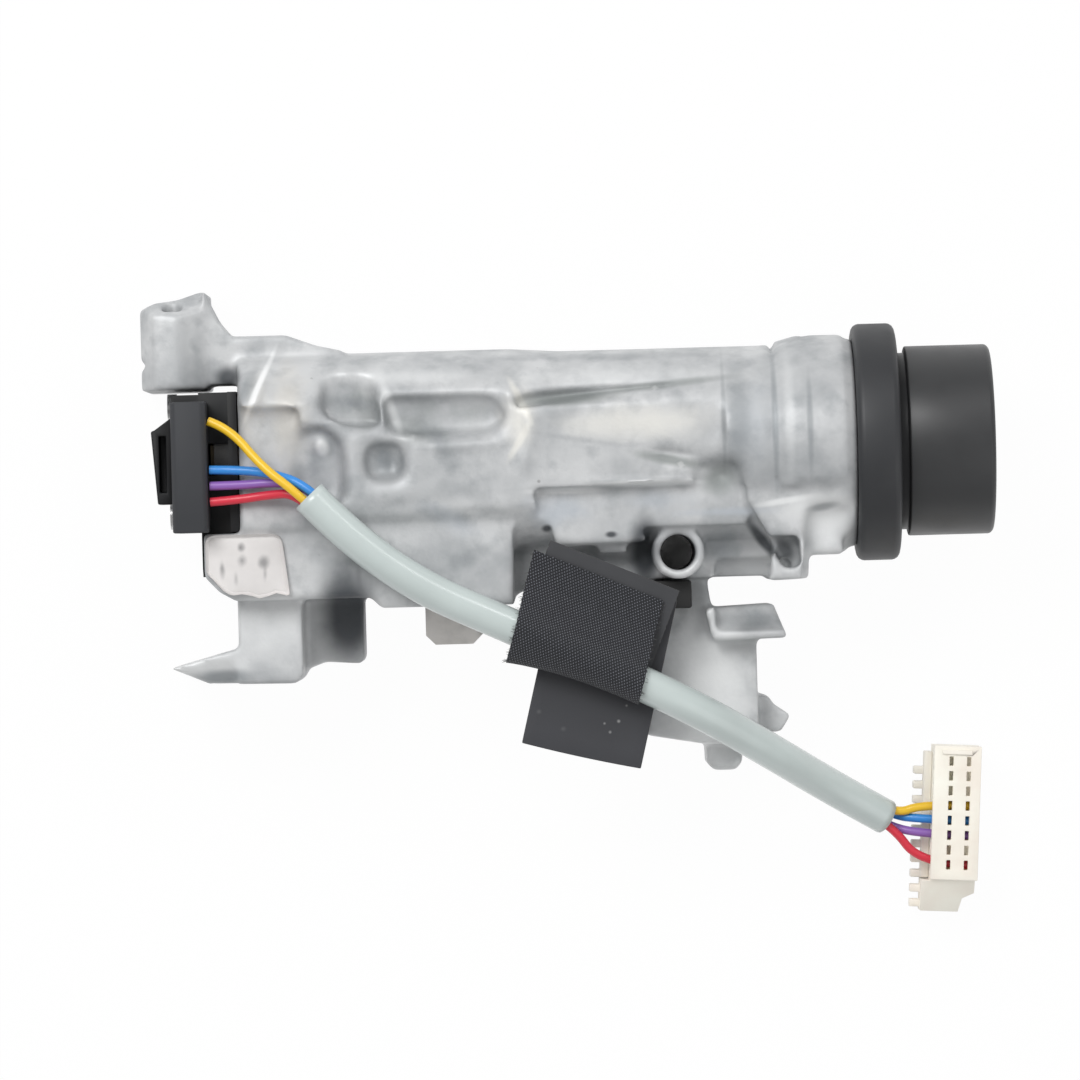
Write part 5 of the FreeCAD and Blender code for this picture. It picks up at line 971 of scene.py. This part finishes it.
def makePad():
    bpy.ops.object.select_all(action="DESELECT")
    bpy.ops.mesh.primitive_cube_add(size=1.0)
    piece = bpy.context.object
    piece.name = "foamPad"
    turn = Matrix.Rotation(math.radians(pad["turn"]), 4, "Z")
    centre = turn @ Vector((pad["width"] / 2, pad["height"] / 2, 0))
    middle = spot(pad["corner"][0] + centre.x, pad["corner"][1] + centre.y,
                  pad["top"] - pad["thickness"] / 2)
    scale = Matrix.Diagonal((pad["width"] * mm, pad["height"] * mm, pad["thickness"] * mm, 1))
    piece.data.transform(Matrix.Translation(middle) @ turn @ scale)
    piece.location = (0, 0, 0)
    bpy.ops.object.mode_set(mode="EDIT")
    bpy.ops.mesh.select_all(action="SELECT")
    bpy.ops.mesh.subdivide(number_cuts=9)
    bpy.ops.object.mode_set(mode="OBJECT")
    for vertex in piece.data.vertices:
        local = turn.inverted() @ (vertex.co - middle)
        across, up = local.x / (pad["width"] * mm / 2), local.y / (pad["height"] * mm / 2)
        bow = pad["bow"] * mm * (1 - across * across) * up
        vertex.co += turn @ Vector((0, bow, pad["sag"] * mm * (across * across - 0.5)))
    applyModifier(piece, "BEVEL", width=pad["rim"], segments=3, limit_method="ANGLE",
                  angle_limit=math.radians(50))
    smoothByAngle(piece, 40)
    crumbs = [(x, y, radius, radius, 0, amount, 1.5, pad["crumb"]) for x, y, radius, amount in pad["crumbs"]]
    dress(piece, "housing", "foam", stainOver(finishes["foam"], crumbs), "foam_pad")
    return piece


padPiece = makePad()
print("foam pad cut")


# The casting: a softened skin over the machined model

casting = {
    "voxel": 0.52 * mm,
    "smoothing": 4,
    "frontSmoothing": 7,     # more on the side that faces the camera
    "softSmoothing": 80,     # and most where the photograph's edges nearly vanish
    "softRim": 1.6 * mm,     # how wide the change to that is
    "softFrom": 8 * mm,      # above the barrel's axis
    "frontFrom": 4 * mm,
    "formReach": 14 * mm,
    "triangles": 190000,
}
castForms = [
    # x and y of the middle, half width, half height, turn in degrees, rise in millimetres
    (-46.4, 11.6, 0.95, 4.6, -20, 1.0),     # slanted rib beside the switch
    (-36.5, 2.1, 1.5, 1.5, 0, 1.1),          # round boss below the arch
    (-4.2, 9.4, 1.1, 2.6, 38, 0.55),         # curved rib, in three stretches
    (-1.2, 4.2, 1.2, 3.0, 8, 0.6),
    (-1.9, -1.2, 1.1, 2.4, -10, 0.45),
    (3.0, 9.1, 5.0, 0.95, 3, -0.8),          # wedge that runs out to the right
    (10.5, 9.6, 6.5, 0.80, 3, -0.7),
    (20.5, 10.2, 8.0, 0.55, 3, -0.4),
    (30.3, -4.6, 2.6, 2.2, 0, -0.9),         # notch
    (21.5, -0.9, 4.5, 0.6, -8, -0.4),
    (4.5, -6.4, 5.5, 0.45, 0, 0.45),         # two lips of the ledge
    (18.0, -5.6, 8.0, 0.45, 0, 0.45),
    (-31.5, 12.0, 1.0, 5.0, 12, 0.4),
    (-25.8, 2.0, 0.9, 5.0, 0, 0.35),
    (-12.5, 1.2, 6.0, 1.0, 4, 0.35),
    (-20.0, -8.5, 7.0, 1.2, 2, -0.3),
]


def shapeFront(piece):
    # The die's own swellings and hollows, pushed into the side that faces up.
    for vertex in piece.data.vertices:
        if vertex.normal.z < 0.25 or vertex.co.z < ringMiddle.z:
            continue
        for x, y, width, height, turn, rise in castForms:
            away = vertex.co - spot(x, y, 0)
            if max(abs(away.x), abs(away.y)) > casting["formReach"]:
                continue
            angle = math.radians(turn)
            across = (away.x * math.cos(angle) + away.y * math.sin(angle)) / (width * mm)
            up = (-away.x * math.sin(angle) + away.y * math.cos(angle)) / (height * mm)
            square = across * across + up * up
            if square < 6:
                vertex.co.z += rise * mm * math.exp(-square)


softPlaces = [
    # left, right, lower and upper limit of each part of the front with nearly melted edges
    (-51.5, -41.0, -5.0, 16.5),
    (-38.5, -4.4, 1.2, 16.0),
    (-43.5, -20.5, -10.5, 6.0),
    (-4.5, 22.0, 7.4, 12.0),
    (18.0, 35.8, -7.0, 2.4),
    (38.0, 48.0, -6.0, 16.0),
    (43.0, 53.2, -17.0, -5.5),
]


def softGroup(piece):
    group = piece.vertex_groups.new(name="soft")
    level = ringMiddle.z + casting["softFrom"]
    for left, right, low, high in softPlaces:
        start, end = spot(left, low, 0), spot(right, high, 0)
        for vertex in piece.data.vertices:
            place = vertex.co
            inside = min(place.x - start.x, end.x - place.x, place.y - start.y, end.y - place.y)
            if inside > 0 and place.z > level:
                group.add([vertex.index], min(1.0, inside / casting["softRim"]), "REPLACE")
    return group.name


def frontGroup(piece):
    group = piece.vertex_groups.new(name="front")
    level = ringMiddle.z + casting["frontFrom"]
    front = [v.index for v in piece.data.vertices if v.normal.z > 0.2 and v.co.z > level]
    group.add(front, 1.0, "REPLACE")
    return group.name


def makeCasting():
    piece = copyOf("lock_housing", "castingSkin")
    applyModifier(piece, "REMESH", mode="VOXEL", voxel_size=casting["voxel"])
    applyModifier(piece, "SMOOTH", factor=0.5, iterations=casting["smoothing"])
    for makeGroup, times in ((frontGroup, "frontSmoothing"), (softGroup, "softSmoothing")):
        applyModifier(piece, "SMOOTH", factor=0.5, iterations=casting[times],
                      vertex_group=makeGroup(piece))
    shapeFront(piece)
    faces = len(piece.data.polygons) * 2
    if faces > casting["triangles"]:
        applyModifier(piece, "DECIMATE", ratio=casting["triangles"] / faces)
    print("casting triangles before and after:", faces, len(piece.data.polygons))
    smoothByAngle(piece, 60)
    dress(piece, "housing", "cast_alloy", finishes["castAlloy"], "lock_housing")


makeCasting()
print("casting done")


# Label: a thin sheet with rounded corners whose lower end lifts a little

sticker = {
    "corner": 0.9 * mm,
    "lift": 0.35 * mm,
    "ripple": 0.8 * mm,
    "flatAbove": -18.4,      # the sheet lies flat above this height and lifts below it
    "bottom": -22.4,
    "liftWave": 1.6 * mm,
    "rippleWave": 0.9 * mm,
    "smudge": grey(0.16, (1, 1, 1.05)),
}
smudges = [
    # x, y, half width and half height of a soft grey mark, and how strong it is
    (-50.4, -15.0, 0.8, 0.9, 0.8), (-50.2, -17.2, 1.0, 1.2, 0.75), (-53.6, -18.4, 0.6, 1.8, 0.7),
    (-46.6, -17.6, 1.2, 1.3, 0.7), (-46.4, -19.6, 0.5, 1.5, 0.5), (-51.3, -20.2, 0.5, 1.4, 0.4),
]


def makeSticker():
    piece = copyOf("label", "stickerSheet", flatAngle=1.0)
    bpy.ops.object.mode_set(mode="EDIT")
    bpy.ops.mesh.select_all(action="DESELECT")
    bpy.ops.object.mode_set(mode="OBJECT")
    for edge in piece.data.edges:
        a, b = (piece.data.vertices[i].co for i in edge.vertices)
        edge.select = abs(a.z - b.z) > 0.9 * (a - b).length
    bpy.ops.object.mode_set(mode="EDIT")
    bpy.ops.mesh.bevel(offset=sticker["corner"], segments=5, affect="EDGES")
    bpy.ops.mesh.select_all(action="SELECT")
    bpy.ops.mesh.quads_convert_to_tris()
    bpy.ops.mesh.subdivide(number_cuts=4)
    bpy.ops.object.mode_set(mode="OBJECT")
    low = spot(0, sticker["bottom"], 0).y
    high = spot(0, sticker["flatAbove"], 0).y
    for vertex in piece.data.vertices:
        share = min(1.0, max(0.0, (high - vertex.co.y) / (high - low)))
        wave = 0.6 + 0.4 * math.sin(vertex.co.x / sticker["liftWave"])
        vertex.co.z += sticker["lift"] * share * share * wave
        wave = 0.5 + 0.5 * math.sin(vertex.co.x / sticker["rippleWave"])
        vertex.co.y += sticker["ripple"] * share * wave
    smoothByAngle(piece, 40)
    marks = [(x, y, width, height, 0, amount, 1.5, sticker["smudge"])
             for x, y, width, height, amount in smudges]
    dress(piece, "housing", "sticker", stainOver(finishes["sticker"], marks), "label")


makeSticker()
print("label stuck on")


# Contacts: open channels in which the wires lie

contact = {"width": 1.6, "left": -1.5, "right": 3.2, "bottom": 7.85, "side": 0.9, "wall": 0.2}


def makeContacts():
    made = []
    for name, (angle, exitY, lead, row, finish) in wires.items():
        middle = plugPoint((contact["left"] + contact["right"]) / 2, rowHeight(row),
                           contact["bottom"] + contact["side"] / 2)
        bpy.ops.object.select_all(action="DESELECT")
        bpy.ops.mesh.primitive_cube_add(size=1.0)
        piece = bpy.context.object
        piece.name = "contact_" + name[5:]
        size = Vector((contact["right"] - contact["left"], contact["width"], contact["side"])) * mm
        place = Matrix.Translation(spot(*middle)) @ Matrix.Rotation(math.radians(cable["plugTurn"]), 4, "Z")
        piece.data.transform(place @ Matrix.Diagonal((*size, 1)))
        piece.data.materials.append(finishes["brass"])
        bpy.ops.object.mode_set(mode="EDIT")
        bpy.ops.mesh.select_all(action="DESELECT")
        bpy.ops.object.mode_set(mode="OBJECT")
        for face in piece.data.polygons:
            face.select = face.normal.z > 0.9
        bpy.ops.object.mode_set(mode="EDIT")
        bpy.ops.mesh.inset(thickness=contact["wall"] * mm, depth=0)
        bpy.ops.mesh.extrude_region_move(TRANSFORM_OT_translate={
            "value": (0, 0, -(contact["side"] - contact["wall"]) * mm)})
        bpy.ops.object.mode_set(mode="OBJECT")
        applyModifier(piece, "BEVEL", width=0.05 * mm, segments=2, limit_method="ANGLE")
        smoothByAngle(piece)
        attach(piece, "housing")
        made.append(piece)
    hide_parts("connector_terminals")
    return made


contacts = makeContacts()
print("contacts bent")


# Lock, bolt and switch: CAD shapes with rounded edges and their own finishes

dressedNodes = [
    # node, piece, body, slot, finish, edge in millimetres
    ("coil_ring", "readerRing", "housing", "black_plastic", "ringPlastic", 0.5),
    ("key_sleeve", "keySleeve", "housing", "black_plastic", "sleevePlastic", 0.3),
    ("switch_case", "switchCase", "housing", "black_plastic", "switchPlastic", 0.3),
    ("switch_cover", "switchCover", "housing", "black_plastic", "switchPlastic", 0.25),
    ("wire_plug", "wirePlug", "housing", "black_plastic", "plugPlastic", 0.3),
    ("plug_lock", "plugLock", "housing", "black_plastic", "switchPlastic", 0.25),
    ("rubber_buffer", "rubberBuffer", "housing", "rubber", "rubber", 0.4),
    ("end_connector", "endConnector", "housing", "cream_plastic", "creamPlastic", 0.22),
    ("connector_comb", "connectorComb", "housing", "cream_plastic", "combPlastic", 0.2),
    ("lock_bolt", "boltBar", "bolt", "hard_steel", "boltSteel", 0.4),
    ("bolt_cover", "boltLid", "housing", "cast_alloy", "lockAlloy", 0.3),
    ("key_plug", "keyPlug", "rotor", "lock_alloy", "brass", 0.15),
    ("cylinder_body", "cylinderBody", "housing", "lock_alloy", "lockAlloy", 0.2),
]
plainNodes = [
    ("cylinder_pin", "hard_steel", "steel"),
    ("spindle_bush", "lock_alloy", "lockAlloy"),
    ("cover_screws", "hard_steel", "steel"),
    ("switch_contacts", "brass", "shadedBrass"),
    ("switch_screws", "hard_steel", "steel"),
    ("plug_wafers", "brass", "brass"),
    ("drive_spindle", "lock_alloy", "lockAlloy"),
    ("switch_rotor", "inner_plastic", "innerPlastic"),
    ("contact_bridge", "brass", "shadedBrass"),
    ("lock_slide", "hard_steel", "steel"),
    ("bolt_pin", "hard_steel", "steel"),
]
for node, name, body, slot, finish, edge in dressedNodes:
    piece = bevelledCopy(node, name, edge * mm)
    dress(piece, body, slot, finishes[finish], node)
for node, slot, finish in plainNodes:
    paint(node, finishes[finish])
# The spring is pressed together between the slide and the end of its chamber.
coil = copyOf("bolt_spring", "boltSpringCoil")
smoothByAngle(coil)
dress(coil, "housing", "hard_steel", finishes["steel"], "bolt_spring")
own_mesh(coil)
print("lock and switch dressed")
